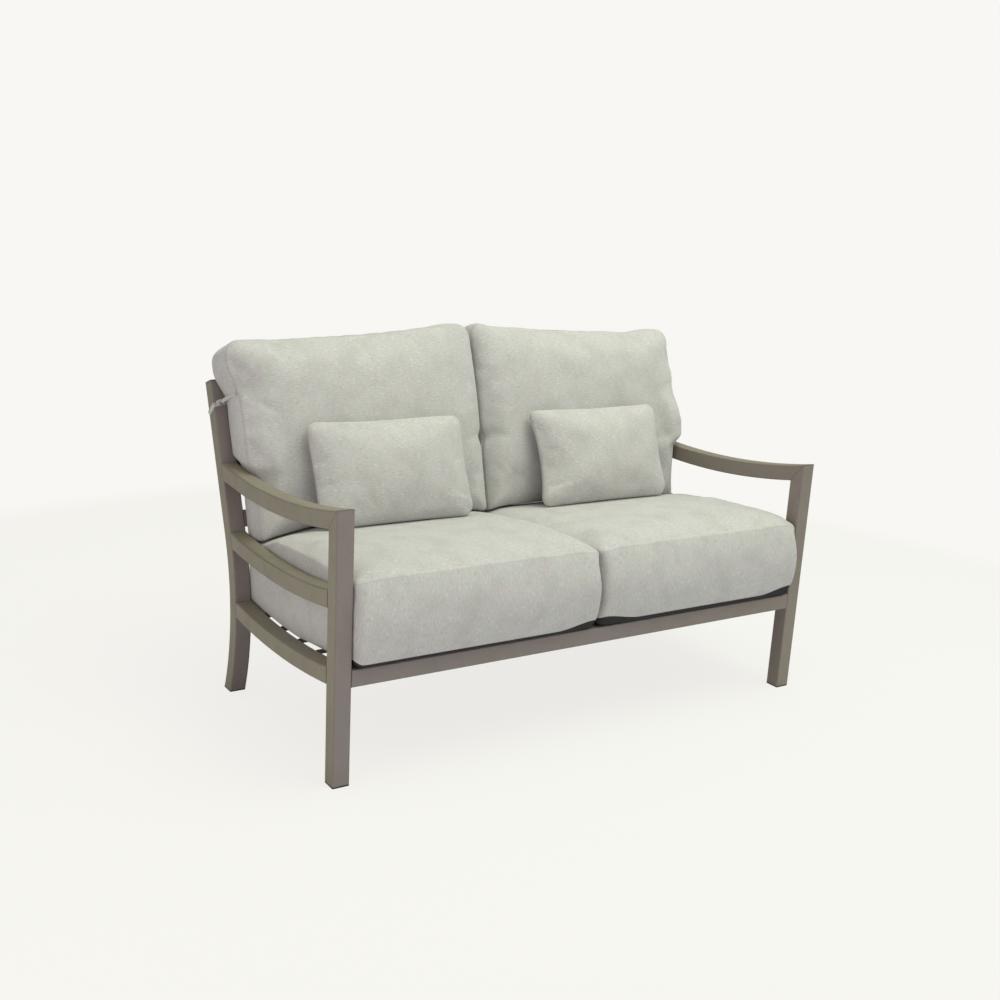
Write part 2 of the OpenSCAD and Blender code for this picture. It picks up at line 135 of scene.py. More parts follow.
def ease(t: Points) -> Points:
    """Smooth step from 0 to 1."""
    c = np.clip(t, 0.0, 1.0)
    return c * c * (3.0 - 2.0 * c)


def fade(value: Points, start: float, length: float) -> Points:
    """Smooth step that begins at start and ends a length further on."""
    return ease((value - start) / length)


def srgb(text: str) -> tuple[float, float, float, float]:
    """Turns an sRGB hex colour to linear.

    Args:
        text: The colour, such as "#c6c5bb".

    Returns:
        Linear red, green and blue with full alpha.
    """
    parts = [int(text[i : i + 2], 16) / 255.0 for i in (1, 3, 5)]
    linear = [p / 12.92 if p <= 0.04045 else ((p + 0.055) / 1.055) ** 2.4 for p in parts]
    return (linear[0], linear[1], linear[2], 1.0)


def wave_scale(period_mm: float) -> float:
    """Scale of a wave texture whose bands repeat every period_mm, on coordinates in metres."""
    return 2.0 * math.pi / 20.0 / (period_mm * MM)


def noise_scale(grain_mm: float) -> float:
    """Scale of a noise texture whose blotches are about grain_mm across, on coordinates in metres."""
    return 1.0 / (grain_mm * MM)


class Shader:
    """The node tree of a material or the world; colours are hex texts or sockets, values numbers or sockets."""

    def __init__(self, owner: bpy.types.Material | bpy.types.World) -> None:
        """Empties the owner's node tree.

        Args:
            owner: The material or the world.
        """
        owner.use_nodes = True
        self.tree = owner.node_tree
        self.tree.nodes.clear()

    def add(self, kind: str, inputs: dict[Any, Any] | None = None, **settings: Any) -> bpy.types.NodeOutputs:
        """Adds a node with its settings and links.

        Args:
            kind: The node's type, such as "ShaderNodeTexNoise".
            inputs: Sockets by name or number, each with what it holds or the socket that feeds it.
            **settings: The node's own properties.

        Returns:
            The new node's output sockets.
        """
        made = self.tree.nodes.new(kind)
        for key, value in settings.items():
            setattr(made, key, value)
        for key, value in (inputs or {}).items():
            if isinstance(value, bpy.types.NodeSocket):
                self.tree.links.new(value, made.inputs[key])
            else:
                made.inputs[key].default_value = srgb(value) if isinstance(value, str) else value
        return made.outputs

    def noise(self, place: Any, scale: float, detail: float, roughness: float = 0.5) -> bpy.types.NodeSocket:
        """Soft blotches at a scale."""
        return self.add("ShaderNodeTexNoise", {0: place, "Scale": scale, "Detail": detail, "Roughness": roughness})[0]

    def wave(self, place: Any, period_mm: float, way: str, distortion: float,
             detail: float = 2.0) -> bpy.types.NodeSocket:
        """Bands that repeat every period_mm along X or Y."""
        inputs = {0: place, "Scale": wave_scale(period_mm), "Distortion": distortion, "Detail": detail}
        return self.add("ShaderNodeTexWave", inputs, bands_direction=way)[0]

    def mix(self, share: Any, first: Any, second: Any) -> bpy.types.NodeSocket:
        """The first colour with a share of the second."""
        return self.add("ShaderNodeMix", {0: share, 6: first, 7: second}, data_type="RGBA")[2]

    def ramp(self, value: Any, low: float, high: float, bottom: float = 0.0, top: float = 1.0) -> bpy.types.NodeSocket:
        """Stretches a value so that low becomes bottom and high becomes top."""
        return self.add("ShaderNodeMapRange", {0: value, 1: low, 2: high, 3: bottom, 4: top})[0]

    def maths(self, operation: str, first: Any, second: Any) -> bpy.types.NodeSocket:
        """The result of one sum on two values."""
        return self.add("ShaderNodeMath", {0: first, 1: second}, operation=operation)[0]

    def times(self, first: Any, second: Any) -> bpy.types.NodeSocket:
        """The product of two values."""
        return self.maths("MULTIPLY", first, second)

    def bump(self, height: Any, strength: float, depth_mm: float, normal: Any = None) -> bpy.types.NodeSocket:
        """Relief of a height.

        Args:
            height: The socket that gives the height.
            strength: How much of the relief shows.
            depth_mm: How deep the relief is.
            normal: The normal it starts from, or None for the surface's own.

        Returns:
            The normal's socket.
        """
        inputs = {"Strength": strength, "Distance": depth_mm * MM, "Height": height}
        return self.add("ShaderNodeBump", inputs if normal is None else {**inputs, "Normal": normal})[0]

    def surface(self, inputs: dict[str, Any]) -> None:
        """Adds the surface shader with these inputs, and the output."""
        self.add("ShaderNodeOutputMaterial", {0: self.add("ShaderNodeBsdfPrincipled", inputs)[0]})


def new_material(name: str) -> tuple[bpy.types.Material, Shader]:
    """An empty material and its node tree."""
    made = bpy.data.materials.new(name)
    return made, Shader(made)


@dataclass(frozen=True)
class WovenPolyester:
    """Woven outdoor polyester, piece-dyed heather yarn: pale slubs and grey flecks over a dull even cloth."""

    name: str = "woven_heather_polyester"
    ground: str = "#c6c4c4"
    slub: str = "#e3e1de"
    fleck: str = "#969391"
    # seam: painted shade colour, mixed in along the sewn grooves
    seam: str = "#8d8a86"
    rose: str = "#c8c3c4"
    sage: str = "#c4c5c0"
    thread_mm: float = 1.6
    slub_mm: tuple[float, float] = (13.0, 2.6)
    fleck_mm: tuple[float, float] = (9.0, 2.4)
    tint_mm: float = 26.0
    cloud_mm: float = 70.0
    slub_share: float = 0.9
    fleck_share: float = 0.8
    weave_share: float = 0.10
    roughness: float = 0.92

    def _yarn(self, nodes: Shader, grain: Any, size_mm: tuple[float, float], start: tuple[float, float]) -> Any:
        """Noise stretched along the weft, as thick yarn lies."""
        scale = (1.0 / size_mm[0] / MM, 1.0 / size_mm[1] / MM, 1.0)
        return nodes.noise(nodes.add("ShaderNodeMapping", {0: grain, 1: (*start, 0.0), 3: scale})[0], 1.0, 2.0, 0.6)

    def build(self) -> bpy.types.Material:
        """Builds the material on the cloth's own grain, in metres.

        Returns:
            The woven cloth.
        """
        made, nodes = new_material(self.name)
        grain = nodes.add("ShaderNodeUVMap", uv_map="grain")[0]
        slubs = self._yarn(nodes, grain, self.slub_mm, (0.0, 0.0))
        flecks = self._yarn(nodes, grain, self.fleck_mm, (3.1, 7.7))
        clouds = nodes.noise(grain, noise_scale(self.cloud_mm), 2.0)
        tints = nodes.noise(grain, noise_scale(self.tint_mm), 0.0)
        weave = nodes.times(*(nodes.wave(grain, self.thread_mm, way, 1.6, 1.0) for way in "XY"))
        # Painted shade: the seam attribute darkens the cloth along the sewn grooves, where shade falls.
        seam_painted_shade = nodes.add("ShaderNodeAttribute", attribute_name="seam")["Fac"]
        colour: Any = self.ground
        for share, tone in (
            (nodes.ramp(tints, 0.52, 0.72), self.rose),
            (nodes.ramp(tints, 0.48, 0.28), self.sage),
            (nodes.times(nodes.ramp(slubs, 0.55, 0.74), self.slub_share), self.slub),
            (nodes.times(nodes.ramp(flecks, 0.56, 0.76), self.fleck_share), self.fleck),
            (nodes.ramp(clouds, 0.45, 1.6), self.fleck),
            (nodes.times(weave, self.weave_share), self.slub),
            (seam_painted_shade, self.seam),
        ):
            colour = nodes.mix(share, colour, tone)
        height = nodes.maths("ADD", nodes.times(weave, 0.6), slubs)
        nodes.surface({"Base Color": colour, "Roughness": self.roughness, "Normal": nodes.bump(height, 0.45, 0.9),
                       "Sheen Weight": 0.18, "Sheen Roughness": 0.55, "Specular IOR Level": 0.25})
        return made


@dataclass(frozen=True)
class PowderCoatedSteel:
    """Powder-coated steel with mica in the powder: a soft metallic taupe with a faint pebbled skin."""

    name: str = "powder_coated_taupe_steel"
    coat: str = "#897e7c"
    # turned: the aslant tint, partly the mica's flop and partly painted light
    turned: str = "#8a8371"
    mica: str = "#a39a90"
    pit: str = "#756d66"
    pebble_mm: float = 1.3
    mica_mm: float = 0.9
    cloud_mm: float = 45.0
    cloud_share: float = 0.2
    # corner: painted shade colour for the dark line along the tube's corners
    corner: str = "#4c443d"
    corner_mm: float = 2.6
    corner_shade_share: float = 0.85
    roughness: float = 0.52
    metallic: float = 0.1

    def build(self) -> bpy.types.Material:
        """Builds the coat on the steel's own coordinates.

        Returns:
            The powder coat.
        """
        made, nodes = new_material(self.name)
        place = nodes.add("ShaderNodeTexCoord")["Object"]
        mica = nodes.noise(place, noise_scale(self.mica_mm), 1.0)
        cloud = nodes.noise(place, noise_scale(self.cloud_mm), 3.0)
        pebble = nodes.noise(place, noise_scale(self.pebble_mm), 2.0)
        # Partly real, partly painted light: the mica's flop turns the taupe from mauve to olive where the coat is seen
        # aslant, and the same shift paints in the coloured light that falls on the differently turned faces.
        aslant = nodes.add("ShaderNodeLayerWeight", {"Blend": 0.5})["Facing"]
        colour = nodes.mix(nodes.ramp(aslant, 0.25, 0.48), self.coat, self.turned)
        colour = nodes.mix(nodes.ramp(mica, 0.56, 0.80), colour, self.mica)
        colour = nodes.mix(nodes.times(nodes.ramp(cloud, 0.45, 0.85), self.cloud_share), colour, self.pit)
        rough = nodes.ramp(cloud, 0.3, 0.7, self.roughness - 0.05, self.roughness + 0.06)
        # Painted shade: a dark line is mixed into the colour along the tube's rolled corners, where the bevelled
        # normal turns from the face, for the rounded edges in shadow.
        rolled = nodes.add("ShaderNodeBevel", {"Radius": self.corner_mm * MM}, samples=4)[0]
        flat = nodes.add("ShaderNodeNewGeometry")["Normal"]
        agree = nodes.add("ShaderNodeVectorMath", {0: rolled, 1: flat}, operation="DOT_PRODUCT")["Value"]
        colour = nodes.mix(nodes.times(nodes.ramp(agree, 0.995, 0.92), self.corner_shade_share), colour, self.corner)
        nodes.surface({"Base Color": colour, "Metallic": self.metallic, "Roughness": rough,
                       "Normal": nodes.bump(pebble, 0.22, 0.25, rolled)})
        return made


@dataclass(frozen=True)
class WovenWebbing:
    """Polypropylene webbing, tightly woven: near-black ribs across the strap, with a painted highlight on their crests
    for the dull light they catch.
    """

    name: str = "woven_polypropylene_webbing"
    yarn: str = "#242326"
    rib_painted_highlight: str = "#3a383c"
    rib_mm: float = 2.4
    yarn_mm: float = 1.2

    def build(self) -> bpy.types.Material:
        """Builds the ribs along the strap.

        Returns:
            The webbing.
        """
        made, nodes = new_material(self.name)
        place = nodes.add("ShaderNodeTexCoord")["Object"]
        woven = nodes.times(nodes.wave(place, self.rib_mm, "X", 0.4), nodes.wave(place, self.yarn_mm, "Y", 0.8))
        # Painted highlight: the crests of the weave are mixed towards a lighter colour.
        nodes.surface({"Base Color": nodes.mix(woven, self.yarn, self.rib_painted_highlight), "Roughness": 0.66,
                       "Normal": nodes.bump(woven, 0.6, 0.5), "Sheen Weight": 0.1})
        return made


@dataclass(frozen=True)
class MouldedNylon:
    """Injection-moulded nylon glide: matt charcoal with a fine spark-eroded grain and scuffs underneath."""

    name: str = "moulded_nylon_glide"
    colour: str = "#2b2a29"
    scuff: str = "#4b4946"
    grain_mm: float = 0.7
    scuff_mm: float = 9.0

    def build(self) -> bpy.types.Material:
        """Builds the moulded grain.

        Returns:
            The nylon.
        """
        made, nodes = new_material(self.name)
        place = nodes.add("ShaderNodeTexCoord")["Object"]
        scuffs = nodes.ramp(nodes.noise(place, noise_scale(self.scuff_mm), 6.0, 0.7), 0.58, 0.8)
        grain = nodes.noise(place, noise_scale(self.grain_mm), 2.0)
        nodes.surface({"Base Color": nodes.mix(scuffs, self.colour, self.scuff), "Roughness": 0.55,
                       "Normal": nodes.bump(grain, 0.3, 0.2)})
        return made


@dataclass(frozen=True)
class PaintedShadeUnderCloth:
    """Painted shade under the seats: a flat charcoal, dimpled sheet on the under panels that stands for the shadow
    which makes the dark line on the front rail.
    """

    name: str = "painted_shade_under_cloth"
    colour: str = "#343335"
    dimple_mm: float = 1.8

    def build(self) -> bpy.types.Material:
        """Builds the dimpled sheet of painted shade on the cushion's own grain.

        Returns:
            The dark cloth of painted shade.
        """
        made, nodes = new_material(self.name)
        grain = nodes.add("ShaderNodeUVMap", uv_map="grain")[0]
        dimples = nodes.add("ShaderNodeTexVoronoi", {0: grain, "Scale": noise_scale(self.dimple_mm)})[0]
        nodes.surface({"Base Color": self.colour, "Roughness": 0.85, "Normal": nodes.bump(dimples, 0.4, 0.3),
                       "Specular IOR Level": 0.2})
        return made


@dataclass
class Finishes:
    """Every finish of the loveseat, built once."""

    cloth: bpy.types.Material = field(default_factory=lambda: WovenPolyester().build())
    paint: bpy.types.Material = field(default_factory=lambda: PowderCoatedSteel().build())
    webbing: bpy.types.Material = field(default_factory=lambda: WovenWebbing().build())
    nylon: bpy.types.Material = field(default_factory=lambda: MouldedNylon().build())
    # under: a dark sheet of painted shade for the seats' under panels, standing for the shadow on the front rail
    under: bpy.types.Material = field(default_factory=lambda: PaintedShadeUnderCloth().build())


def mesh_piece(name: str, points: Points, faces: Sequence[Sequence[int]],
               material: bpy.types.Material) -> bpy.types.Object:
    """Makes an object from points in metres.

    Args:
        name: The piece's name.
        points: One row for each vertex.
        faces: Vertex numbers of each face, anticlockwise from outside.
        material: Its finish.

    Returns:
        The object, smooth shaded.
    """
    mesh = bpy.data.meshes.new(name)
    mesh.from_pydata([tuple(p) for p in points], [], [tuple(f) for f in faces])
    mesh.update()
    mesh.polygons.foreach_set("use_smooth", [True] * len(mesh.polygons))
    mesh.materials.append(material)
    made = bpy.data.objects.new(name, mesh)
    bpy.context.scene.collection.objects.link(made)
    return made


def rows_of(items: bpy.types.bpy_prop_collection, name: str) -> Points:
    """A property of three numbers as rows, such as "co" of a mesh's vertices.

    Args:
        items: The vertices or the normals.
        name: The property.

    Returns:
        One row for each item.
    """
    out = np.empty(len(items) * 3, np.float32)
    items.foreach_get(name, out)
    return out.reshape(-1, 3).astype(float)


def move_to(mesh: bpy.types.Mesh, points: Points) -> None:
    """Moves the mesh's vertices to the rows of points."""
    mesh.vertices.foreach_set("co", np.ascontiguousarray(points, np.float32).ravel())
    mesh.update()


def apply_modifiers(piece: bpy.types.Object) -> None:
    """Bakes every modifier of the piece into its mesh.

    Args:
        piece: The piece.
    """
    graph = bpy.context.evaluated_depsgraph_get()
    baked = bpy.data.meshes.new_from_object(piece.evaluated_get(graph))
    old = piece.data
    piece.modifiers.clear()
    piece.data = baked
    bpy.data.meshes.remove(old)


class Zone(Enum):
    """Which sewn panel of a cushion a point belongs to."""

    UNDER = 0
    BOXING = 1
    FACE = 2


@dataclass(frozen=True)
class Ring:
    """One line of points round a cushion: a panel's outline at a scale, or a level of the boxing."""

    zone: Zone
    value: float


def stack_rings(under: Sequence[float], boxing: Sequence[float], face: Sequence[float]) -> list[Ring]:
    """The rings from the under panel's edge over the boxing to the face panel's edge."""
    return [Ring(zone, value) for zone, values in zip(Zone, (under, boxing, face)) for value in values]


def outline(u: Points, v: Points, a: float, b: float, corner: float, foot: float) -> tuple[Points, ...]:
    """Maps the edge of a unit square to a rounded rectangle.

    Args:
        u: Across on the square's edge, -1 to 1.
        v: Along on the square's edge, -1 to 1.
        a: Half width of the rectangle.
        b: Half height of the rectangle.
        corner: Radius of its far corners.
        foot: Radius of its near corners.

    Returns:
        x and y of the points, and x and y of the outward direction there.
    """
    upright = np.abs(u) >= np.abs(v)
    r = np.where(v < 0, foot, corner)
    fx = np.clip((np.abs(u) * a - (a - r)) / r, 0.0, 1.0)
    fy = np.clip((np.abs(v) * b - (b - r)) / r, 0.0, 1.0)
    angle = np.where(upright, fy, 2.0 - fx) * math.pi / 4.0
    cx, cy = np.sign(u) * np.cos(angle), np.sign(v) * np.sin(angle)
    x = np.where(upright | (fx > 0), np.sign(u) * (a - r + r * np.cos(angle)), u * a)
    y = np.where(~upright | (fy > 0), np.sign(v) * (b - r + r * np.sin(angle)), v * b)
    cx = np.where(~upright & (fx <= 0), 0.0, cx)
    cy = np.where(upright & (fy <= 0), 0.0, cy)
    return x, y, cx, cy


@dataclass(frozen=True)
class Crease:
    """A fold pressed into the cloth along a line, in millimetres; a negative depth raises a fold."""

    start: tuple[float, float, float]
    end: tuple[float, float, float]
    depth: float
    width: float

    def press(self, points: Points) -> Points:
        """How far each point goes in, by its distance from the line and its place along it.

        Args:
            points: Rows in millimetres.

        Returns:
            Depth for each row.
        """
        a, b = np.array(self.start), np.array(self.end)
        line = b - a
        t = np.clip((points - a) @ line / (line @ line), 0.0, 1.0)
        away = np.linalg.norm(points - a - t[:, None] * line, axis=1)
        return self.depth * np.exp(-((away / self.width) ** 2)) * (1.0 - ease(t))


@dataclass(frozen=True)
class Lumps:
    """Soft unevenness of the filling: a sum of slow waves from one seed."""

    seed: int
    size: float
    depth: float
    waves: int = 9

    def swell(self, points: Points) -> Points:
        """Rise of each point.

        Args:
            points: Rows in millimetres.

        Returns:
            Rise for each row, in millimetres.
        """
        rng = np.random.default_rng(self.seed)
        total = np.zeros(len(points))
        for _ in range(self.waves):
            way = rng.normal(size=3)
            way *= 2.0 * math.pi / (self.size * rng.uniform(0.7, 1.6)) / np.linalg.norm(way)
            total += np.sin(points @ way + rng.uniform(0.0, 2.0 * math.pi))
        return self.depth * total / math.sqrt(self.waves)


class Grid:
    """How a cushion's points are numbered: the under panel's square grid, the rings, then the face panel's grid."""

    def __init__(self, cells: tuple[int, int], inner: float) -> None:
        """Lays the square grid of a panel.

        Args:
            cells: Cells across and along the panel.
            inner: Scale of the panel's edge loop.
        """
        self.cells = cells
        m, n = cells
        i, j = np.meshgrid(np.arange(m + 1), np.arange(n + 1), indexing="ij")
        u, v = 2.0 * i / m - 1.0, 2.0 * j / n - 1.0
        reach = np.maximum(np.abs(u), np.abs(v))
        safe = np.where(reach > 0, reach, 1.0)
        self.u = np.where(reach > 0, u / safe, 1.0).ravel()
        self.v = np.where(reach > 0, v / safe, 0.0).ravel()
        self.scale = reach.ravel() * inner
        number = i * (n + 1) + j
        self.loop = np.concatenate([number[:-1, 0], number[-1, :-1], number[:0:-1, -1], number[0, :0:-1]])
        self.panel, self.count = number.size, len(self.loop)

    def ring(self, k: int) -> slice:
        """Where the points of ring k are."""
        return slice(self.panel + k * self.count, self.panel + (k + 1) * self.count)

    def faces(self, rings: int) -> list[tuple[int, ...]]:
        """Lists the mesh's faces.

        Args:
            rings: How many rings the mesh has.

        Returns:
            Point numbers of each face, anticlockwise from outside.
        """
        m, n = self.cells
        top = self.ring(rings).start
        made: list[tuple[int, ...]] = []
        for i in range(m):
            for j in range(n):
                a, b = i * (n + 1) + j, (i + 1) * (n + 1) + j
                made += [(a, a + 1, b + 1, b), (top + a, top + b, top + b + 1, top + a + 1)]
        levels = [list(range(self.ring(k).start, self.ring(k).stop)) for k in range(rings)]
        rows = [self.loop.tolist(), *levels, (top + self.loop).tolist()]
        for low, high in zip(rows, rows[1:]):
            made += zip(low, low[1:] + low[:1], high[1:] + high[:1], high)
        return made


@dataclass
class Cushion:
    """A sewn and stuffed piece: two panels of square cells joined by rings of boxing."""

    side: Side
    finishes: Finishes
    node: str = ""
    body: str = ""
    cells: tuple[int, int] = (60, 54)
    coarse: Levels = ((), (), ())
    fine: Levels = ((), (), ())
    sewn: tuple[float, ...] = (1.0,)
    inner: float = 0.965
    pressure: float = 4.0
    cap: float = 10.0
    growth: float = 0.012
    seam_hold: float = 0.85
    seam_depth: float = 1.6
    seam_shade: float = 0.28
    beside_seam: float = 0.22
    fill: float = 0.8
    # Painted shade: a dark under panel, kept this far in from the sides except within this reach of the front.
    lined: bool = False
    shade_side_inset: float = 26.0
    lined_front: float = 80.0
    sim_frames: int = 20
    lumps: tuple[Lumps, ...] = ()
    creases: tuple[Crease, ...] = ()

    def __post_init__(self) -> None:
        """Numbers the cushion's points."""
        self.grid = Grid(self.cells, self.inner)
        self.swelling: Points | None = None

    def surface(self, zone: Zone, u: Points, v: Points, value: Points) -> Points:
        """Points of the cushion on the right side, in millimetres.

        Args:
            zone: The panel or boxing.
            u: Direction across, on the edge of a unit square.
            v: Direction along, on the edge of a unit square.
            value: Scale of the outline on a panel, or level of the boxing.

        Returns:
            One row for each point.
        """
        raise NotImplementedError

    def sim_rings(self) -> list[Ring]:
        """Rings of the coarse mesh that is blown up."""
        return stack_rings(*self.coarse)

    def sewn_rings(self) -> list[Ring]:
        """Rings of the finished mesh, close together at the seams."""
        return stack_rings(*self.fine)

    def free(self, points: Points) -> Points:
        """Share of the swelling that each point may take: 0 where something rests on it."""
        raise NotImplementedError

    def hold(self, points: Points) -> Points:
        """Keeps the finished points clear of what stands beside them."""
        return points

    def names(self) -> tuple[str, str]:
        """The piece's node and the body that it rides on."""
        return f"{self.side.word}_{self.node}", f"{self.side.word}_{self.body}"

    def _points(self, rings: Sequence[Ring]) -> Points:
        """All points of the mesh: the under panel, the rings and the face panel.

        Args:
            rings: The mesh's rings.

        Returns:
            One row for each point, in millimetres.
        """
        grid, loop = self.grid, self.grid.loop
        rows = [self.surface(Zone.UNDER, grid.u, grid.v, grid.scale)]
        rows += [self.surface(r.zone, grid.u[loop], grid.v[loop], np.full(grid.count, r.value)) for r in rings]
        rows.append(self.surface(Zone.FACE, grid.u, grid.v, grid.scale))
        return np.concatenate(rows)

    def _swelling(self) -> Points:
        """Blows the coarse mesh up as cloth.

        Returns:
            How far each of its points moved, in millimetres.
        """
        rings = self.sim_rings()
        start = self._points(rings)
        piece = mesh_piece("swelling", start * MM, self.grid.faces(len(rings)), self.finishes.cloth)
        pinned = piece.vertex_groups.new(name="sewn")
        held = 1.0 - self.free(start)
        for k, ring in enumerate(rings):
            if ring.value in (0.0, 1.0):
                held[self.grid.ring(k)] = np.maximum(held[self.grid.ring(k)], self.seam_hold)
        for number, weight in enumerate(held):
            if weight > 0.01:
                pinned.add([number], float(min(1.0, weight)), "REPLACE")
        cloth = piece.modifiers.new("cloth", "CLOTH")
        settings = cloth.settings
        settings.quality = 6
        settings.mass = 0.25
        settings.tension_stiffness = 18.0
        settings.compression_stiffness = 12.0
        settings.bending_stiffness = 0.8
        settings.use_pressure = True
        settings.uniform_pressure_force = self.pressure
        settings.shrink_min = -self.growth
        settings.vertex_group_mass = "sewn"
        settings.pin_stiffness = 1.5
        settings.effector_weights.gravity = 0.0
        cloth.collision_settings.use_collision = False
        cloth.point_cache.frame_start = 1
        cloth.point_cache.frame_end = self.sim_frames
        for frame_number in range(1, self.sim_frames + 1):
            bpy.context.scene.frame_set(frame_number)
        graph = bpy.context.evaluated_depsgraph_get()
        shown = piece.evaluated_get(graph).to_mesh()
        moved = rows_of(shown.vertices, "co") / MM - start
        piece.evaluated_get(graph).to_mesh_clear()
        bpy.data.objects.remove(piece)
        bpy.context.scene.frame_set(1)
        length = np.linalg.norm(moved, axis=1)
        LOG.info("%s swelled by up to %.1f mm", type(self).__name__, float(length.max()))
        over = np.maximum(length, 1e-9)
        return moved * (np.tanh(over / self.cap) * self.cap / over * self.free(start))[:, None]

    def _carried(self, moved: Points) -> Points:
        """Carries the swelling over to the finished rings.

        Args:
            moved: How far each point of the coarse mesh moved.

        Returns:
            The same for the finished mesh.
        """
        grid, coarse = self.grid, self.sim_rings()
        under, face = moved[: grid.panel], moved[grid.ring(len(coarse)).start :]
        rows = [under[grid.loop], *(moved[grid.ring(k)] for k in range(len(coarse))), face[grid.loop]]
        marks = [0.0, *(self._mark(r) for r in coarse), 3.0]
        out = [under]
        for at in (self._mark(r) for r in self.sewn_rings()):
            k = max(0, min(len(marks) - 2, int(np.searchsorted(marks, at, side="right")) - 1))
            share = (at - marks[k]) / (marks[k + 1] - marks[k])
            out.append(rows[k] * (1.0 - share) + rows[k + 1] * share)
        return np.concatenate([*out, face])

    def _mark(self, ring: Ring) -> float:
        """Place of a ring between the under panel, 0, and the face panel, 3.

        Args:
            ring: The ring.

        Returns:
            Its place.
        """
        if ring.zone is Zone.BOXING:
            return 1.0 + ring.value
        share = (ring.value - self.inner) / (1.0 - self.inner)
        return share if ring.zone is Zone.UNDER else 3.0 - share

    def _grain(self, piece: bpy.types.Object, rings: int) -> None:
        """Lays each sewn panel's own grain as a map in metres; the boxing is cut with the weft upright.

        Args:
            piece: The cushion before it is smoothed.
            rings: How many rings it has.
        """
        panel, count = self.grid.panel, self.grid.count
        flat = self.flattened(rows_of(piece.data.vertices, "co"))
        round_edge = np.arange(count) / count * 2.0 * (np.ptp(flat[:, 0]) + np.ptp(flat[:, 1]))
        layer = piece.data.uv_layers.new(name="grain")
        values = np.zeros((len(piece.data.loops), 2))
        for face in piece.data.polygons:
            boxing = all(panel <= v < panel + rings * count for v in face.vertices)
            around = [(v - panel) % count for v in face.vertices]
            wraps = count - 1 in around
            for k, v, place in zip(face.loop_indices, face.vertices, around):
                if boxing:
                    wrap = wraps and place == 0
                    values[k] = (flat[v, 2], round_edge[-1] + round_edge[1] if wrap else round_edge[place])
                else:
                    values[k] = flat[v, :2]
        layer.data.foreach_set("uv", values.ravel())

    def _paint_underside_shade(self, piece: bpy.types.Object, rings: Sequence[Ring]) -> None:
        """Paints the under panel dark, as painted shade for the shadow on the front rail, if the cushion has it.

        Args:
            piece: The cushion before it is smoothed.
            rings: The mesh's rings.
        """
        if not self.lined:
            return
        last = self.grid.ring(sum(1 for r in rings if r.zone is Zone.UNDER) + 1).start
        piece.data.materials.append(self.finishes.under)
        points = rows_of(piece.data.vertices, "co") / MM
        low, high = points[:, 0].min() + self.shade_side_inset, points[:, 0].max() - self.shade_side_inset
        front = points[:, 1].min() + self.lined_front
        for face in piece.data.polygons:
            x, y, _ = points[face.vertices[0]]
            if all(v < last for v in face.vertices) and (low < x < high or y < front):
                face.material_index = 1

    def flattened(self, points: Points) -> Points:
        """Points laid out with the face panel flat: across, along and thickness, in metres."""
        return points

    def seams(self) -> list[Ring]:
        """Rings that are sewn."""
        return [Ring(Zone.BOXING, level) for level in self.sewn]

    def build(self, swelling: Points | None = None) -> bpy.types.Object:
        """Builds, swells, seams and dresses the cushion.

        Args:
            swelling: The coarse mesh's swelling if the other side's twin has made it.

        Returns:
            The finished piece.
        """
        self.swelling = self._swelling() if swelling is None else swelling
        node, body = self.names()
        rings = self.sewn_rings()
        base = self._points(rings)
        free = self.free(base)
        points = base + self._carried(self.swelling)
        press = sum((crease.press(base) for crease in self.creases), np.zeros(len(base)))
        faces = self.grid.faces(len(rings))
        if self.side is Side.LEFT:
            points, base = points * MIRROR, base * MIRROR
            faces = [face[::-1] for face in faces]
        piece = mesh_piece(node + "_cover", LAYOUT.metres(points), faces, self.finishes.cloth)
        normals = rows_of(piece.data.vertex_normals, "vector")
        rise = sum((lump.swell(base) for lump in self.lumps), np.zeros(len(base))) * free
        seam = self._seam_shares(rings)
        points = points + normals * (rise - press - self.seam_depth * seam)[:, None]
        points = self.hold(points)
        move_to(piece.data, LAYOUT.metres(points))
        # Painted shade: each point's share of the dark seam colour, full on the sewn rings and less beside them.
        layer = piece.data.attributes.new("seam", "FLOAT", "POINT")
        layer.data.foreach_set("value", (self.seam_shade * seam).astype(np.float32))
        self._grain(piece, len(rings))
        self._paint_underside_shade(piece, rings)
        smooth = piece.modifiers.new("smooth", "SUBSURF")
        smooth.levels = smooth.render_levels = 1
        apply_modifiers(piece)
        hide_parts(node)
        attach(piece, body)
        LOG.info("%s: %d faces on %s", piece.name, len(piece.data.polygons), body)
        return piece

    def _seam_shares(self, rings: Sequence[Ring]) -> Points:
        """1 on a sewn ring, a share beside it and 0 elsewhere.

        Args:
            rings: The mesh's rings.

        Returns:
            One share for each point.
        """
        grid = self.grid
        out = np.zeros(2 * grid.panel + len(rings) * grid.count)
        sewn = [self._mark(r) for r in self.seams()]
        marks = [self._mark(r) for r in rings]
        for k, at in enumerate(marks):
            if min(abs(at - s) for s in sewn) < 1e-6:
                out[grid.ring(k)] = 1.0
                for near in (k - 1, k + 1):
                    if 0 <= near < len(marks):
                        out[grid.ring(near)] = self.beside_seam
        return out


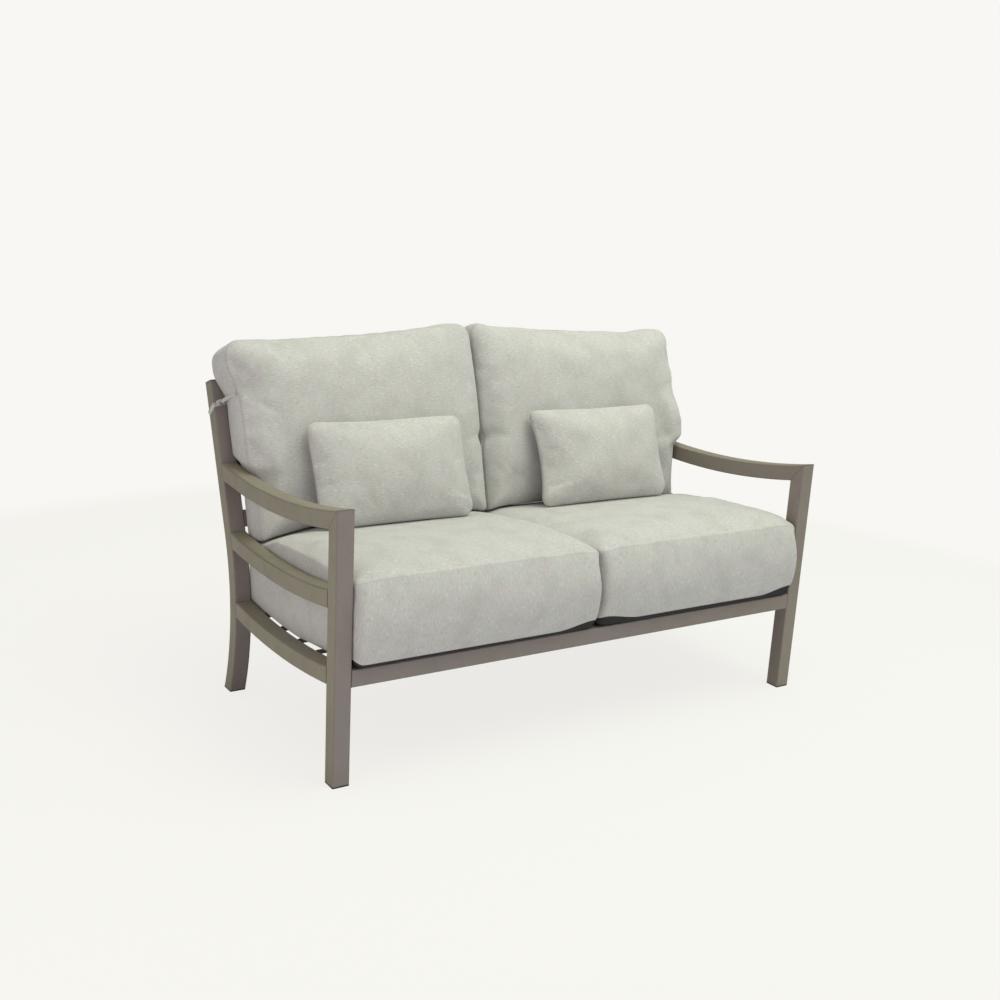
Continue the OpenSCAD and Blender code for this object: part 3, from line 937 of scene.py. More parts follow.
@dataclass
class SeatCushion(Cushion):
    """Boxed seat cushion with a crowned top that falls towards the back; its fine rings close up at the top seam."""

    node: str = "seat_cushion"
    body: str = "seat"
    coarse: Levels = ((0.985,), (0.0, 0.15, 0.3, 0.45, 0.6, 0.75, 0.88, 1.0), (0.985,))
    fine: Levels = (
        (0.975, 0.985, 0.994),
        (0.0, 0.04, 0.1, 0.2, 0.32, 0.44, 0.56, 0.68, 0.8, 0.88, 0.94, 0.972, 0.99, 1.0),
        (0.9955, 0.988, 0.977),
    )
    depth: float = 581.0
    overhang: float = 5.0
    seam_h: float = 458.0
    fall: float = 44.0
    fall_power: float = 2.6
    crown: float = 18.0
    swell: float = 24.0
    toe: float = 12.0
    draw: float = 0.5
    corner: float = 15.0
    rear_corner: float = 8.0
    side_swell: float = 2.0
    edge_lift: float = 11.5
    side_lift: float = 19.0
    corner_lift: float = 15.0
    outer_lift: float = 17.0
    rim: float = 0.45
    ear_drop: float = 8.0
    slump: float = 20.0
    # Painted shade: the dark under panel stands for the shadow on the front rail.
    lined: bool = True
    fill: float = 0.85

    @property
    def half_w(self) -> float:
        """Half the cushion's width."""
        return (LAYOUT.inner_w / 2 - 2 * LAYOUT.soft_gap) / 2

    @property
    def mid_x(self) -> float:
        """Distance of the cushion's middle from the loveseat's middle."""
        return LAYOUT.inner_w / 4

    def top_z(self, x: Points, y: Points) -> Points:
        """Height of the top seam at a place.

        Args:
            x: Across from the cushion's middle.
            y: Back from the front posts' front faces.

        Returns:
            Height for each place.
        """
        back = np.maximum(0.0, y) / self.depth
        ears = self.ear_drop * np.minimum(1.0, np.abs(x) / self.half_w) ** 8
        slump = self.slump * fade(x, 120.0, 200.0) * fade(y, 400.0, 110.0)
        return self.seam_h - self.fall * back**self.fall_power - ears - slump

    def rise(self, y: Points, value: Points) -> Points:
        """Height of the crown at y, for a scale of the outline, with a soft shoulder along the rim."""
        rim = self.rim * fade(value, 0.70, 0.20) * (1.0 - np.clip((value - 0.90) / 0.10, 0.0, 1.0) ** 2)
        return self.crown * (1.0 - 0.8 * (np.maximum(0.0, y) / self.depth) ** 2) * (1.0 - value**5 + rim)

    def level(self, x: Points, y: Points) -> Points:
        """Height of the crowned top under a place, for what lies on it.

        Args:
            x: Distance from the cushion's middle.
            y: Distance from the frame's front.

        Returns:
            Height for each row.
        """
        half_d = self.depth / 2
        value = np.clip(np.maximum(np.abs(x) / self.half_w, np.abs(y - half_d + self.overhang) / half_d), 0.0, 1.0)
        return self.top_z(np.clip(x, -self.half_w, self.half_w), y) + self.rise(y, value)

    def surface(self, zone: Zone, u: Points, v: Points, value: Points) -> Points:
        """Points of the seat cushion; see Cushion.surface."""
        half_d = self.depth / 2
        x0, y0, cx, cy = outline(u, v, self.half_w - self.side_swell, half_d, self.rear_corner, self.corner)
        scale = np.ones_like(value) if zone is Zone.BOXING else value
        px = scale * (x0 - self.draw * cx * (1.0 - (y0 / half_d) ** 2))
        py = scale * (y0 - self.draw * cy * (1.0 - (x0 / self.half_w) ** 2))
        y = py + half_d - self.overhang
        under = LAYOUT.lower_z(np.maximum(LAYOUT.tube, y)) + LAYOUT.soft_gap
        side_lift = 1.0 + self.side_lift * (1.0 - fade(y, 110.0, 190.0))
        at_corner = np.where(x0 < 0, self.corner_lift, self.outer_lift)
        front_lift = self.edge_lift + at_corner * fade(np.abs(x0), 195.0, 110.0)
        edge_lift = cx**2 * side_lift + cy**2 * np.where(cy < 0, front_lift, 1.0)
        toe = self.toe * np.maximum(0.0, -cy)
        if zone is Zone.UNDER:
            lift = edge_lift * np.clip((value - 0.93) / 0.07, 0.0, 1.0) ** 4
            return np.stack([px + self.mid_x, y - toe * fade(value, 0.9, 0.1), under + lift], 1)
        if zone is Zone.FACE:
            z = self.top_z(px, y) + self.rise(y, value)
            return np.stack([px + self.mid_x, y, z], 1)
        swell = np.sin(math.pi * value) ** np.where(value > 0.5, 0.9, 0.6)
        low = under + edge_lift
        z = low + (self.top_z(px, y) - low) * value
        front = np.where(cy < 0, self.swell - self.toe, self.side_swell)
        toe = toe * (1.0 - fade(value, 0.4, 0.6))
        return np.stack([px + cx * self.side_swell * swell + self.mid_x, y + cy * front * swell - toe, z], 1)

    def free(self, points: Points) -> Points:
        """The top and front swell; the underside, the sides and what lies under the pillows don't.

        Args:
            points: Rows in millimetres.

        Returns:
            Share for each row.
        """
        x, y, z = points[:, 0] - self.mid_x, points[:, 1], points[:, 2]
        under = fade(z - LAYOUT.lower_z(np.maximum(LAYOUT.tube, y)), 12.0, 40.0)
        behind = 1.0 - fade(y, 270.0, 90.0)
        sides = 1.0 - fade(np.abs(x), 292.0, 22.0) * fade(y, 8.0, 14.0)
        return under * behind * np.clip(sides, 0.0, 1.0)

    def hold(self, points: Points) -> Points:
        """Keeps the sides in the cushion's own width.

        Args:
            points: Rows in millimetres.

        Returns:
            The rows inside the cushion's room.
        """
        out = points.copy()
        middle = self.side.value * self.mid_x
        out[:, 0] = np.clip(out[:, 0], middle - self.half_w, middle + self.half_w)
        floor = LAYOUT.lower_z(np.maximum(LAYOUT.tube, out[:, 1])) + LAYOUT.soft_gap
        out[:, 2] = np.maximum(out[:, 2], np.where(out[:, 1] > LAYOUT.tube + 2.0, floor, floor - 3.0))
        return out


@dataclass
class BackCushion(Cushion):
    """Leaning back cushion, thicker above, with a wing over the arm and a pinch where it is tied."""

    node: str = "back_cushion"
    body: str = "back"
    cells: tuple[int, int] = (60, 46)
    coarse: Levels = ((0.985,), (0.0, 0.2, 0.4, 0.6, 0.8, 1.0), (0.985,))
    fine: Levels = (
        (0.975, 0.985, 0.995),
        (0.0, 0.015, 0.05, 0.12, 0.24, 0.38, 0.52, 0.66, 0.78, 0.88, 0.95, 0.985, 1.0),
        (0.9965, 0.991, 0.982, 0.974),
    )
    sewn: tuple[float, ...] = (0.0, 1.0)
    height: float = 459.0
    low_t: float = 80.0
    top_t: float = 100.0
    roll: float = 37.0
    crown: float = 12.0
    ear_low: float = 40.0
    ear_top: float = 46.0
    ear_turn: float = 260.0
    ear_lift: float = 9.0
    side_bulge: float = 16.0
    shoulder: float = 24.0
    inner_bulge: float = 6.0
    peak: float = 32.0
    pinch: float = 4.0
    gather: float = 0.0
    inner_pinch: float = 7.0
    inner_q: float = 180.0
    swell: float = 3.0
    draw: float = 0.5
    corner: float = 38.0
    foot_corner: float = 10.0
    rear_edge: float = 7.0
    pinch_reach: float = 36.0
    settle: float = 170.0
    ear_rise: float = 30.0
    base_z: float = 411.278
    pinch_q: float = 326.0
    fill: float = 0.7
    seat: SeatCushion | None = None

    @property
    def half_w(self) -> float:
        """Half the cushion's width below the arm."""
        return (LAYOUT.inner_w / 2 - LAYOUT.soft_gap - LAYOUT.arm_gap) / 2

    @property
    def mid_x(self) -> float:
        """Distance of the cushion's middle from the loveseat's middle."""
        return LAYOUT.soft_gap + self.half_w

    def place(self, p: Points, q: Points, t: Points) -> Points:
        """A point across, up the lean and forward from the rear panel.

        Args:
            p: Across from the cushion's middle.
            q: Up the lean from the cushion's foot.
            t: Forward from the rear panel.

        Returns:
            One row for each point, in millimetres.
        """
        s, c = math.sin(LAYOUT.lean), math.cos(LAYOUT.lean)
        high = np.maximum(0.0, q / self.height) ** 3
        peak = (self.peak * ((1.0 - p / self.half_w) / 2.0) ** 2 + self.ear_lift * fade(p, 60.0, 230.0)) * high
        y = LAYOUT.back_y(self.base_z) + (q + peak) * s - (t + LAYOUT.soft_gap) * c
        z_free = self.base_z + (q + peak) * c + t * s
        assert self.seat is not None
        rest = self.seat.level(p, y) + LAYOUT.soft_gap - self.base_z - t * s
        z = z_free + rest * np.maximum(0.0, 1.0 - q / self.settle) ** 2
        start = LAYOUT.arm_z(np.maximum(LAYOUT.arm_low_y, y)) + 4.0
        reach = self.ear_low + (self.ear_top - self.ear_low) * fade(q, self.ear_turn, 80.0)
        wing = reach * fade(z, start, self.ear_rise)
        x = p + wing * (p + self.half_w) / (2.0 * self.half_w)
        return np.stack([x + self.mid_x, y, z], 1)

    def surface(self, zone: Zone, u: Points, v: Points, value: Points) -> Points:
        """Points of the back cushion; see Cushion.surface."""
        half_h = self.height / 2
        x0, y0, cx, cy = outline(u, v, self.half_w - self.swell, half_h - self.swell, self.corner, self.foot_corner)
        scale = np.ones_like(value) if zone is Zone.BOXING else value
        px = scale * (x0 - self.draw * cx * (1.0 - (y0 / half_h) ** 2))
        py = scale * (y0 - self.draw * cy * (1.0 - (x0 / self.half_w) ** 2))
        if zone is Zone.BOXING:
            out = self.swell * np.sin(math.pi * value)
            q = py + cy * out + half_h
            t = self.rear_edge + (self.edge_t(q) + self.bulge(px, q) - self.gathered(q, cx) - self.rear_edge) * value
            return self.place(px + cx * out - self.pinch_at(q, cx, value), q, t)
        q = py + half_h
        if zone is Zone.UNDER:
            return self.place(px - self.pinch_at(q, cx, 0.0) * value**6, q, self.rear_edge * value**8)
        t = self.edge_t(q) + self.bulge(px, q) - self.gathered(q, cx) * value**8
        t = t + self.roll * (1.0 - value**10) ** 0.6 + self.crown * (1.0 - value**4)
        return self.place(px - self.pinch_at(q, cx, 1.0) * value**6, q, t)

    def edge_t(self, q: Points) -> Points:
        """Thickness at the front seam."""
        return self.low_t + (self.top_t - self.low_t) * ease(q / (0.75 * self.height))

    def bulge(self, p: Points, q: Points) -> Points:
        """Extra thickness at the sides, where the pillow presses the filling out.

        Args:
            p: Across from the cushion's middle.
            q: Up the lean.

        Returns:
            Thickness for each place.
        """
        outer = self.side_bulge * fade(p, 225.0, 60.0) * fade(-q, -300.0, 120.0)
        arm = self.shoulder * fade(p, 225.0, 60.0) * fade(q, 20.0, 130.0) * fade(-q, -400.0, 220.0)
        return outer + arm + self.inner_bulge * fade(-p, 235.0, 60.0)

    def pinch_at(self, q: Points, across: Points, front: Points | float) -> Points:
        """How far the side is pulled in.

        Args:
            q: Up the lean.
            across: Outward direction across, positive on the outer side.
            front: 0 at the rear seam to 1 at the front seam.

        Returns:
            The pull towards the cushion's middle, negative on the inner side.
        """
        outer = self.pinch * np.exp(-(((q - self.pinch_q) / self.pinch_reach) ** 2)) * (1.0 - 0.75 * front)
        inner = self.inner_pinch * np.exp(-(((q - self.inner_q) / 16.0) ** 2))
        return np.maximum(0.0, across) * outer + np.minimum(0.0, across) * inner

    def gathered(self, q: Points, across: Points) -> Points:
        """How far the tie gathers the front seam back."""
        return self.gather * np.maximum(0.0, across) * np.exp(-(((q - self.pinch_q) / 26.0) ** 2))

    def fold(self, start: tuple[float, float], end: tuple[float, float], depth: float, width: float) -> Crease:
        """A fold on the front panel.

        Args:
            start: Across and up the lean where it is deepest.
            end: Across and up the lean where it fades out.
            depth: How deep it is.
            width: Half its width.

        Returns:
            The fold in space.
        """
        ends = []
        for p, q in (start, end):
            half_h = self.height / 2
            s = min(1.0, max(abs(p) / (self.half_w - self.swell), abs(q - half_h) / (half_h - self.swell)))
            t = float(self.edge_t(np.array(q))) + self.roll * (1.0 - s**10) ** 0.6 + self.crown * (1.0 - s**4)
            ends.append(tuple(self.place(np.array([p]), np.array([q]), np.array([t]))[0]))
        return Crease(ends[0], ends[1], depth, width)

    def _pqt(self, points: Points) -> tuple[Points, Points, Points]:
        """Across, up the lean and forward of each point.

        Args:
            points: Rows in millimetres.

        Returns:
            The three distances for each row.
        """
        s, c = math.sin(LAYOUT.lean), math.cos(LAYOUT.lean)
        dy = points[:, 1] - LAYOUT.back_y(self.base_z)
        dz = points[:, 2] - self.base_z
        return np.abs(points[:, 0]) - self.mid_x, dy * s + dz * c, dz * s - dy * c

    def free(self, points: Points) -> Points:
        """The front, the top and the wing swell.

        Args:
            points: Rows in millimetres.

        Returns:
            Share for each row.
        """
        p, q, t = self._pqt(points)
        rear = fade(t, 12.0, 40.0)
        low = fade(q, 30.0, 60.0)
        inner = fade(p + self.half_w, 1.0, 26.0) * 0.85 + 0.15
        arm = fade(points[:, 2], 610.0, 40.0)
        outer = 1.0 - fade(p - self.half_w, -22.0, 18.0) * (1.0 - arm)
        return rear * low * inner * np.clip(outer, 0.0, 1.0)

    def hold(self, points: Points) -> Points:
        """Keeps the cushion off its twin.

        Args:
            points: Rows in millimetres.

        Returns:
            The rows on the cushion's own side.
        """
        out = points.copy()
        out[:, 0] = self.side.value * np.maximum(np.abs(out[:, 0]), LAYOUT.soft_gap)
        return out

    def flattened(self, points: Points) -> Points:
        """Across, up the lean and thickness, in metres."""
        p, q, t = self._pqt(points / MM - [0.0, LAYOUT.shift_y, 0.0])
        return np.stack([p, q, t], 1) * MM


@dataclass
class LumbarPillow(Cushion):
    """Knife-edged pillow: two crowned panels that meet in one seam with soft corners."""

    node: str = "pillow"
    body: str = "pillow"
    cells: tuple[int, int] = (52, 34)
    coarse: Levels = ((0.975,), (0.5,), (0.975,))
    fine: Levels = ((0.962, 0.975, 0.987, 0.995), (0.5,), (0.995, 0.987, 0.975, 0.962))
    sewn: tuple[float, ...] = (0.5,)
    inner: float = 0.95
    width: float = 424.0
    height: float = 262.0
    thick: float = 92.0
    lean: float = math.radians(22.0)
    foot_y: float = 398.0
    foot_z: float = 450.58
    draw: float = 4.0
    waist: float = 4.0
    corner: float = 24.0
    foot_corner: float = 32.0
    middle: float = 312.0
    seam_depth: float = 0.0
    fill: float = 0.75

    def surface(self, zone: Zone, u: Points, v: Points, value: Points) -> Points:
        """Points of the pillow; see Cushion.surface."""
        a, b = self.width / 2, self.height / 2
        x0, y0, cx, cy = outline(u, v, a, b, self.corner, self.foot_corner)
        scale = np.ones_like(value) if zone is Zone.BOXING else value
        px = scale * (x0 - np.where(cx < 0, self.waist, self.draw) * cx * (1.0 - (y0 / b) ** 2))
        py = scale * (y0 - self.draw * cy * (1.0 - (x0 / a) ** 2)) + b
        face = {Zone.UNDER: -1.0, Zone.BOXING: 0.0, Zone.FACE: 1.0}[zone]
        out = face * self.thick / 2 * np.maximum(0.0, 1.0 - scale ** (3.0 if face > 0 else 2.4)) ** 0.55
        s, c = math.sin(self.lean), math.cos(self.lean)
        # The pillow's own axes: across, up its lean, and forward towards the sitter.
        return np.stack([px + self.middle, self.foot_y + py * s - out * c, self.foot_z + py * c + out * s], 1)

    def _mark(self, ring: Ring) -> float:
        """Place of a ring, with the single seam halfway.

        Args:
            ring: The ring.

        Returns:
            Its place.
        """
        mark = super()._mark(ring)
        return {Zone.UNDER: 1.5 * mark, Zone.BOXING: 1.5, Zone.FACE: 3.0 - 1.5 * (3.0 - mark)}[ring.zone]

    def puckers(self) -> tuple[Crease, ...]:
        """Small folds that run in from the four corners.

        Returns:
            One fold for each corner.
        """
        s, c = math.sin(self.lean), math.cos(self.lean)
        out = []
        for k, (u, v) in enumerate(((-1, 0), (1, 0), (-1, 1), (1, 1))):
            ends = []
            for inset, rise in ((16.0, 8.0), (58.0 + 7.0 * k, 36.0)):
                x, up = u * (self.width / 2 - inset), (self.height - 0.8 * inset if v else 0.8 * inset)
                ends.append((x + self.middle, self.foot_y + up * s - rise * c, self.foot_z + up * c + rise * s))
            out.append(Crease(ends[0], ends[1], 4.0, 11.0))
        return tuple(out)

    def _own(self, points: Points) -> tuple[Points, Points, Points]:
        """Across, up the pillow's lean and forward of each point.

        Args:
            points: Rows in millimetres.

        Returns:
            The three distances for each row.
        """
        s, c = math.sin(self.lean), math.cos(self.lean)
        dy, dz = points[:, 1] - self.foot_y, points[:, 2] - self.foot_z
        return points[:, 0] - self.middle, dy * s + dz * c, dz * s - dy * c

    def free(self, points: Points) -> Points:
        """The front swells, the back a little, and the foot not at all."""
        _, up, out = self._own(points)
        return (0.12 + 0.88 * fade(out, -10.0, 30.0)) * fade(up, 14.0, 40.0)

    def flattened(self, points: Points) -> Points:
        """Across, up the pillow and thickness, in metres."""
        x, up, out = self._own(points / MM - [0.0, LAYOUT.shift_y, 0.0])
        return np.stack([x, up, out], 1) * MM


@dataclass
class Ribbon:
    """Flat tape laid along a line, with the way its face looks at each point."""

    width: float = 12.0
    thick: float = 1.4
    cloth: bpy.types.Material | None = None

    def lay(self, name: str, path: Points, faces_way: Points, closed: bool = False) -> bpy.types.Object:
        """Builds the tape.

        Args:
            name: The piece's name.
            path: Rows in millimetres along its middle.
            faces_way: Rows that point out of its face.
            closed: Whether its end meets its start.

        Returns:
            The tape, in metres.
        """
        path = np.asarray(path, float)
        along = np.gradient(path, axis=0)
        if closed:
            along = np.roll(path, -1, 0) - np.roll(path, 1, 0)
        along /= np.linalg.norm(along, axis=1)[:, None]
        out = faces_way - (faces_way * along).sum(1)[:, None] * along
        out /= np.linalg.norm(out, axis=1)[:, None]
        across = np.cross(along, out)
        w, h = self.width / 2, self.thick / 2
        shape = [(-w, 0), (-w + 0.7, -h), (-w / 2, -h), (0, -h * 0.8), (w / 2, -h), (w - 0.7, -h), (w, 0),
                 (w - 0.7, h), (w / 2, h), (0, h * 0.8), (-w / 2, h), (-w + 0.7, h)]
        rows = np.concatenate([path + a * across + b * out for a, b in shape]).reshape(len(shape), len(path), 3)
        points = rows.transpose(1, 0, 2).reshape(-1, 3)
        n, m = len(shape), len(path)
        faces = [(k * n + i, k * n + (i + 1) % n, ((k + 1) % m) * n + (i + 1) % n, ((k + 1) % m) * n + i)
                 for k in range(m if closed else m - 1) for i in range(n)]
        if not closed:
            faces += [tuple(range(n))[::-1], tuple(range((m - 1) * n, m * n))]
        piece = mesh_piece(name, LAYOUT.metres(points), faces, self.cloth)
        layer = piece.data.uv_layers.new(name="grain")
        steps = np.concatenate([[0.0], np.cumsum(np.linalg.norm(np.diff(path, axis=0), axis=1))])
        for loop in piece.data.loops:
            k, i = divmod(loop.vertex_index, n)
            layer.data[loop.index].uv = (steps[k] * MM, shape[i][0] * MM)
        return piece


@dataclass
class PostTie:
    """Tape round a back post, knotted in front and sewn into the back cushion's side seam."""

    side: Side
    finishes: Finishes
    height: float = 306.0
    tape: float = 12.0
    thick: float = 1.4
    bend: float = 3.6
    slack: float = 0.15
    knot_deep: float = 3.6
    knot_tall: float = 6.2
    knot_wide: float = 3.4
    slant_across: float = 0.176
    slant_back: float = -0.370

    def _on_post(self, x: float, back: float, rise: float = 0.0) -> Points:
        """A point about the post's middle; x grows towards the loveseat's middle.

        Args:
            x: Across.
            back: Towards the back.
            rise: Up the lean.

        Returns:
            The point, in millimetres.
        """
        middle = self.side.value * (LAYOUT.side_x - x)
        lift = self.slant_across * x + self.slant_back * back + rise
        return LAYOUT.on_lean(middle, back + LAYOUT.tube / 2, self.height + lift)

    def build(self, over: Points, seam: Points) -> None:
        """Builds the loop, the knot and the strand to the cushion.

        Args:
            over: A point outside the cushion's side that the strand passes, in millimetres.
            seam: Where the strand is sewn to the cushion, in millimetres.
        """
        tape = Ribbon(self.tape, self.thick, self.finishes.cloth)
        half, r = LAYOUT.tube / 2 + self.thick / 2 + self.slack, self.bend
        ring, ways = [], []
        for k in range(4):
            for step in range(7):
                angle = math.pi / 2 * (k + step / 6.0)
                cx, cy = math.cos(angle), math.sin(angle)
                sx = 1.0 if k in (0, 3) else -1.0
                sy = 1.0 if k < 2 else -1.0
                x, y = sx * (half - r) + r * cx, sy * (half - r) + r * cy
                ring.append(self._on_post(x, y))
                ways.append(self._on_post(x + cx, y + cy) - self._on_post(x, y))
        if self.side is Side.RIGHT:
            ring, ways = ring[::-1], ways[::-1]
        loop = tape.lay(f"{self.side.word}_tie_loop", np.array(ring), np.array(ways), closed=True)
        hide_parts(f"{self.side.word}_tie")
        knot = self._knot(tape)
        start = self._on_post(-3.0, -half - 3.0, 1.0)
        t = np.linspace(0.0, 1.0, 14)[:, None]
        path = (1 - t) ** 2 * start + 2 * t * (1 - t) * over + t**2 * seam
        way = np.tile([0.9 * self.side.value, -0.4, 0.1], (len(path), 1))
        thin = Ribbon(self.tape - 2.0, self.thick, self.finishes.cloth)
        strand = thin.lay(f"{self.side.word}_tie_strand", path, way)
        for piece, body in ((loop, "frame"), (knot, "frame"), (strand, f"{self.side.word}_back")):
            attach(piece, body)

    def _knot(self, tape: Ribbon) -> bpy.types.Object:
        """The flat knot in front of the post, as one wound tape.

        Args:
            tape: The tie's tape.

        Returns:
            The knot.
        """
        centre = self._on_post(-8.0, -LAYOUT.tube / 2 - 5.2, 0.6)
        turns = np.linspace(0.0, 2.35 * math.pi, 34)
        side = np.array([-self.side.value, 0.0, 0.30])
        side /= np.linalg.norm(side)
        front = np.array([0.0, -1.0, 0.2])
        front -= side * (front @ side)
        front /= np.linalg.norm(front)
        up = np.cross(side, front)
        up *= np.sign(up[2])
        path, ways = [], []
        for turn in turns:
            around, climb = front * self.knot_deep * math.cos(turn), up * self.knot_tall * math.sin(turn)
            path.append(centre + side * (self.knot_wide * math.cos(turn * 0.5)) + around + climb)
            ways.append(around * 1.7 + climb)
        tape = Ribbon(8.5, self.thick + 0.5, tape.cloth)
        return tape.lay(f"{self.side.word}_tie_knot", np.array(path), np.array(ways))


@dataclass
class SteelFrame:
    """Carries the coat, nylon and webbing over to the solids of the frame."""

    finishes: Finishes

    def dress(self, nodes: dict[str, bpy.types.Object]) -> None:
        """Gives every hard node its finish.

        Args:
            nodes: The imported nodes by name.
        """
        soft = ("cushion", "pillow", "tie")
        for name, node in sorted(nodes.items()):
            if name.endswith(soft):
                continue
            finish = self.finishes.paint
            if "strap" in name:
                finish = self.finishes.webbing
            elif "glide" in name:
                finish = self.finishes.nylon
            node.data.materials.clear()
            node.data.materials.append(finish)
            LOG.info("%s wears %s", name, finish.name)


def stand(made: bpy.types.Object, right: Points, up: Points, back: Points, place: Sequence[float]) -> None:
    """Puts a lamp or camera at a place, turned to its three axes.

    Args:
        made: The lamp or camera.
        right: Its first axis.
        up: Its second axis.
        back: Its third axis.
        place: Where it stands, in metres.
    """
    rows = [[right[k], up[k], back[k], place[k]] for k in range(3)]
    made.matrix_world = Matrix(rows + [[0, 0, 0, 1]])
    bpy.context.scene.collection.objects.link(made)


@dataclass(frozen=True)
class SoftBox:
    """A square soft lamp that looks at a point; places in metres, power in watts."""

    name: str
    place: tuple[float, float, float]
    target: tuple[float, float, float]
    size: float
    power: float
    colour: str

    def build(self) -> None:
        """Hangs the lamp."""
        lamp = bpy.data.lights.new(self.name, "AREA")
        lamp.energy, lamp.size = self.power, self.size
        lamp.color = srgb(self.colour)[:3]
        way = np.array(self.target, float) - np.array(self.place, float)
        back = -way / np.linalg.norm(way)
        right = np.cross([0.0, 0.0, 1.0], back)
        right /= np.linalg.norm(right)
        stand(bpy.data.objects.new(self.name, lamp), right, np.cross(back, right), back, self.place)


@dataclass
class Studio:
    """Pale floor, soft light and the photograph's camera."""

    backdrop: str = "#f8f7f3"
    floor_seen: str = "#e8e7e3"
    floor_shade: str = "#e6e5ea"
    floor_plain: float = 0.86
    floor_size: float = 30.0
    sky: str = "#faf7ff"
    left_sky: str = "#fffff0"
    sky_strength: float = 0.36
    horizon_strength: float = 0.23
    left_strength: float = 0.08
    key: SoftBox = SoftBox("key", (0.9, -1.15, 4.1), (0.0, 0.0, 0.4), 3.4, 136.0, "#f6ffe5")
    fill: SoftBox = SoftBox("fill", (-2.5, -1.1, 0.8), (-0.2, 0.0, 0.4), 1.2, 8.0, "#fff4ec")
    eye: tuple[float, float, float] = (-1.7339, -2.5609, 1.2438)
    yaw: float = 0.5975
    pitch: float = 0.2762
    roll: float = 0.0583
    lens: float = 45.01
    shift: tuple[float, float] = (-0.0169, 0.0471)

    def build(self) -> None:
        """Builds the floor, world, lamps and camera."""
        self._floor()
        self._world()
        self.key.build()
        self.fill.build()
        self._camera()
        bpy.context.scene.view_settings.view_transform = "Standard"

    def _floor(self) -> None:
        """A wide floor that turns into the plain backdrop away from the loveseat."""
        made, nodes = new_material("studio_floor")
        place = nodes.add("ShaderNodeNewGeometry")["Position"]
        far = nodes.add("ShaderNodeVectorMath", {0: place}, operation="LENGTH")["Value"]
        away = nodes.maths("MAXIMUM", nodes.ramp(far, 0.9, 2.4), self.floor_plain)
        seen = nodes.add("ShaderNodeLightPath")["Is Camera Ray"]
        matt = nodes.add("ShaderNodeBsdfDiffuse", {"Color": nodes.mix(seen, self.floor_shade, self.floor_seen)})[0]
        plain = nodes.add("ShaderNodeEmission", {"Color": self.backdrop, "Strength": 1.0})[0]
        mixed = nodes.add("ShaderNodeMixShader", {0: nodes.times(away, seen), 1: matt, 2: plain})[0]
        nodes.add("ShaderNodeOutputMaterial", {0: mixed})
        size = self.floor_size
        corners = np.array([(-size, -size, 0), (size, -size, 0), (size, size, 0), (-size, size, 0)])
        mesh_piece("studio_floor", corners, [(0, 1, 2, 3)], made)

    def _world(self) -> None:
        """Even light all round, seen as the pale backdrop."""
        world = bpy.data.worlds.new("studio")
        nodes = Shader(world)
        path = nodes.add("ShaderNodeLightPath")
        seen = nodes.maths("MAXIMUM", path["Is Camera Ray"], path["Is Transmission Ray"])
        # Incoming points back along the ray: what comes from above or from the right is negative.
        way = nodes.add("ShaderNodeSeparateXYZ", {0: nodes.add("ShaderNodeNewGeometry")["Incoming"]})
        above = nodes.ramp(nodes.times(way["Z"], -1.0), -0.1, 0.9)
        left = nodes.ramp(way["X"], 0.1, 0.9)
        strength = nodes.maths("ADD", nodes.times(above, self.sky_strength), self.horizon_strength)
        strength = nodes.maths("ADD", nodes.times(left, self.left_strength), strength)
        tint = nodes.mix(left, self.sky, self.left_sky)
        light = nodes.add("ShaderNodeBackground", {0: tint, 1: strength})[0]
        shown = nodes.add("ShaderNodeBackground", {0: self.backdrop, 1: 1.0})[0]
        mixed = nodes.add("ShaderNodeMixShader", {0: seen, 1: light, 2: shown})[0]
        nodes.add("ShaderNodeOutputWorld", {0: mixed})
        bpy.context.scene.world = world

    def _camera(self) -> None:
        """The photograph's camera."""
        sy, cy = math.sin(self.yaw), math.cos(self.yaw)
        sp, cp = math.sin(self.pitch), math.cos(self.pitch)
        ahead = np.array([sy * cp, cy * cp, -sp])
        right = np.array([cy, -sy, 0.0])
        up = np.cross(right, ahead)
        sr, cr = math.sin(self.roll), math.cos(self.roll)
        right, up = cr * right + sr * up, -sr * right + cr * up
        camera = bpy.data.cameras.new("camera")
        camera.sensor_width = 36.0
        camera.lens = self.lens
        camera.shift_x, camera.shift_y = self.shift
        camera.clip_start, camera.clip_end = 0.05, 100.0
        made = bpy.data.objects.new("camera", camera)
        stand(made, right, up, -ahead, self.eye)
        bpy.context.scene.camera = made


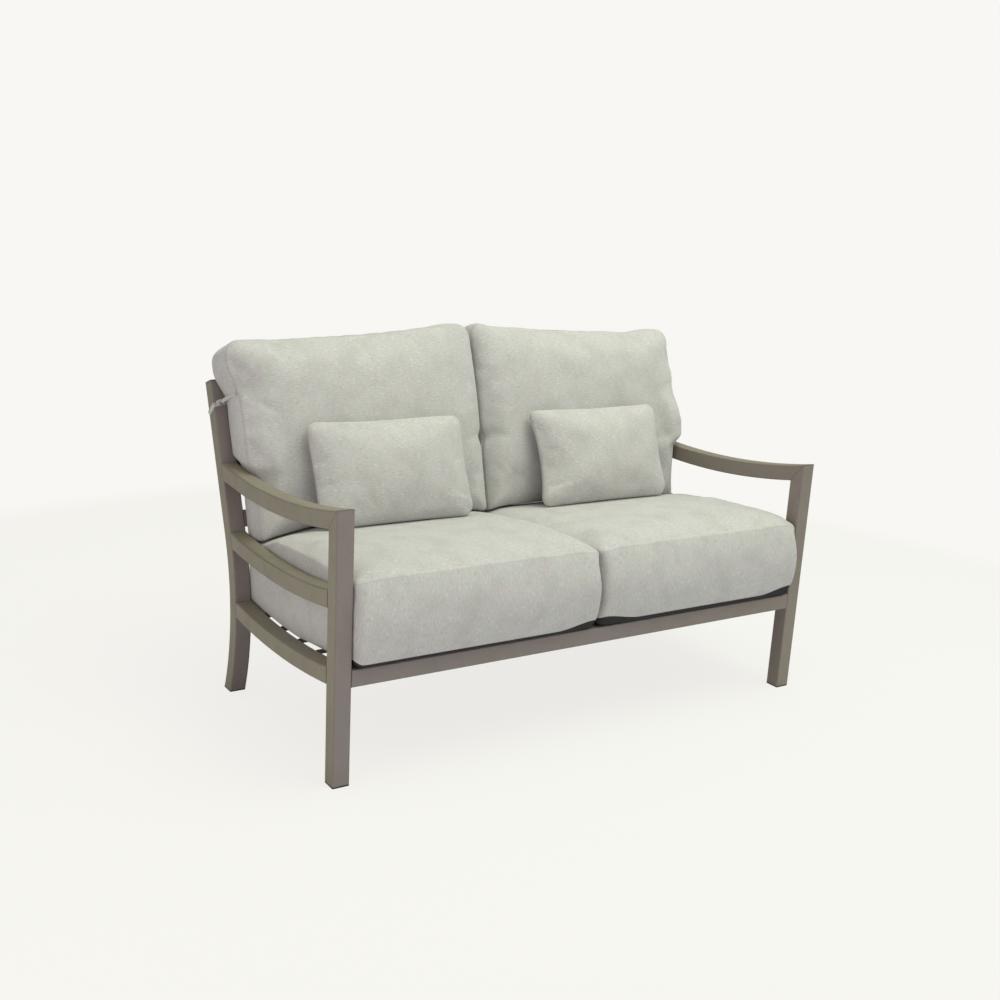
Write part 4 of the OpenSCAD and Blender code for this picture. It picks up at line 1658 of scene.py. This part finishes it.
@dataclass
class Loveseat:
    """The whole dressed loveseat."""

    finishes: Finishes

    def build(self, nodes: dict[str, bpy.types.Object]) -> None:
        """Builds every piece in order.

        Args:
            nodes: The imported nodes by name.
        """
        SteelFrame(self.finishes).dress(nodes)
        self._seats()
        backs = self._backs()
        self._pillows()
        for back in backs:
            seam_t = float(back.edge_t(np.array(back.pinch_q))) - back.gather
            across, forward = np.array([back.half_w + 5.0, back.half_w + 1.0]), np.array([seam_t / 2, seam_t])
            over = back.place(across, np.full(2, back.pinch_q), forward)
            PostTie(back.side, self.finishes).build(*(over * [back.side.value, 1.0, 1.0]))

    def _seats(self) -> None:
        """The two seat cushions; the left one is the right one's mirror with its own lumps."""
        lumps = (Lumps(11, 240.0, 1.6), Lumps(12, 90.0, 0.5))
        right = SeatCushion(Side.RIGHT, self.finishes, edge_lift=15.0, lumps=lumps)
        right.build()
        lumps = (Lumps(21, 250.0, 1.6), Lumps(22, 95.0, 0.5))
        left = SeatCushion(Side.LEFT, self.finishes, outer_lift=0.0, lumps=lumps)
        left.build(right.swelling)

    def _backs(self) -> list[BackCushion]:
        """The two back cushions.

        Returns:
            The left one and the right one.
        """
        seat = SeatCushion(Side.RIGHT, self.finishes)
        right = BackCushion(Side.RIGHT, self.finishes, seat=seat, ear_low=32.0, ear_top=44.0,
                            lumps=(Lumps(31, 190.0, 2.2), Lumps(32, 80.0, 0.8)))
        right.creases = (
            right.fold((-306.0, 350.0), (-250.0, 318.0), 5.0, 10.0),
            right.fold((-308.0, 300.0), (-262.0, 286.0), 4.0, 8.0),
            right.fold((-306.0, 182.0), (-250.0, 190.0), 4.0, 9.0),
        )
        right.build()
        left = BackCushion(Side.LEFT, self.finishes, seat=seat, height=454.0, peak=38.0, ear_low=16.0, ear_top=40.0,
                           ear_turn=315.0, ear_rise=13.0, ear_lift=0.0, side_bulge=6.0, shoulder=0.0,
                           inner_bulge=14.0, pinch=2.0, gather=8.0,
                           lumps=(Lumps(41, 200.0, 2.2), Lumps(42, 85.0, 0.8)))
        left.creases = (
            left.fold((302.0, 326.0), (232.0, 330.0), 5.0, 7.0),
            left.fold((300.0, 336.0), (226.0, 378.0), 6.0, 15.0),
            left.fold((300.0, 314.0), (240.0, 272.0), 5.0, 12.0),
            left.fold((304.0, 240.0), (214.0, 246.0), 4.5, 15.0),
            left.fold((306.0, 186.0), (170.0, 190.0), 3.0, 9.0),
            left.fold((-306.0, 182.0), (-256.0, 176.0), 4.0, 9.0),
            left.fold((-300.0, 400.0), (-240.0, 380.0), 3.0, 12.0),
        )
        left.build(right.swelling)
        return [left, right]

    def _pillows(self) -> None:
        """The two lumbar pillows."""
        right = LumbarPillow(Side.RIGHT, self.finishes, middle=318.0, waist=20.0, lumps=(Lumps(51, 130.0, 2.2),))
        right.creases = right.puckers()
        right.build()
        left = LumbarPillow(Side.LEFT, self.finishes, middle=312.0, waist=7.0, lumps=(Lumps(61, 140.0, 2.2),))
        left.creases = left.puckers()
        left.build(right.swelling)


def main() -> None:
    """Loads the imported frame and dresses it."""
    logging.basicConfig(level=logging.INFO, format="%(message)s")
    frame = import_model()
    Studio().build()
    Loveseat(Finishes()).build(frame["nodes"])


if __name__ == "__main__":
    main()
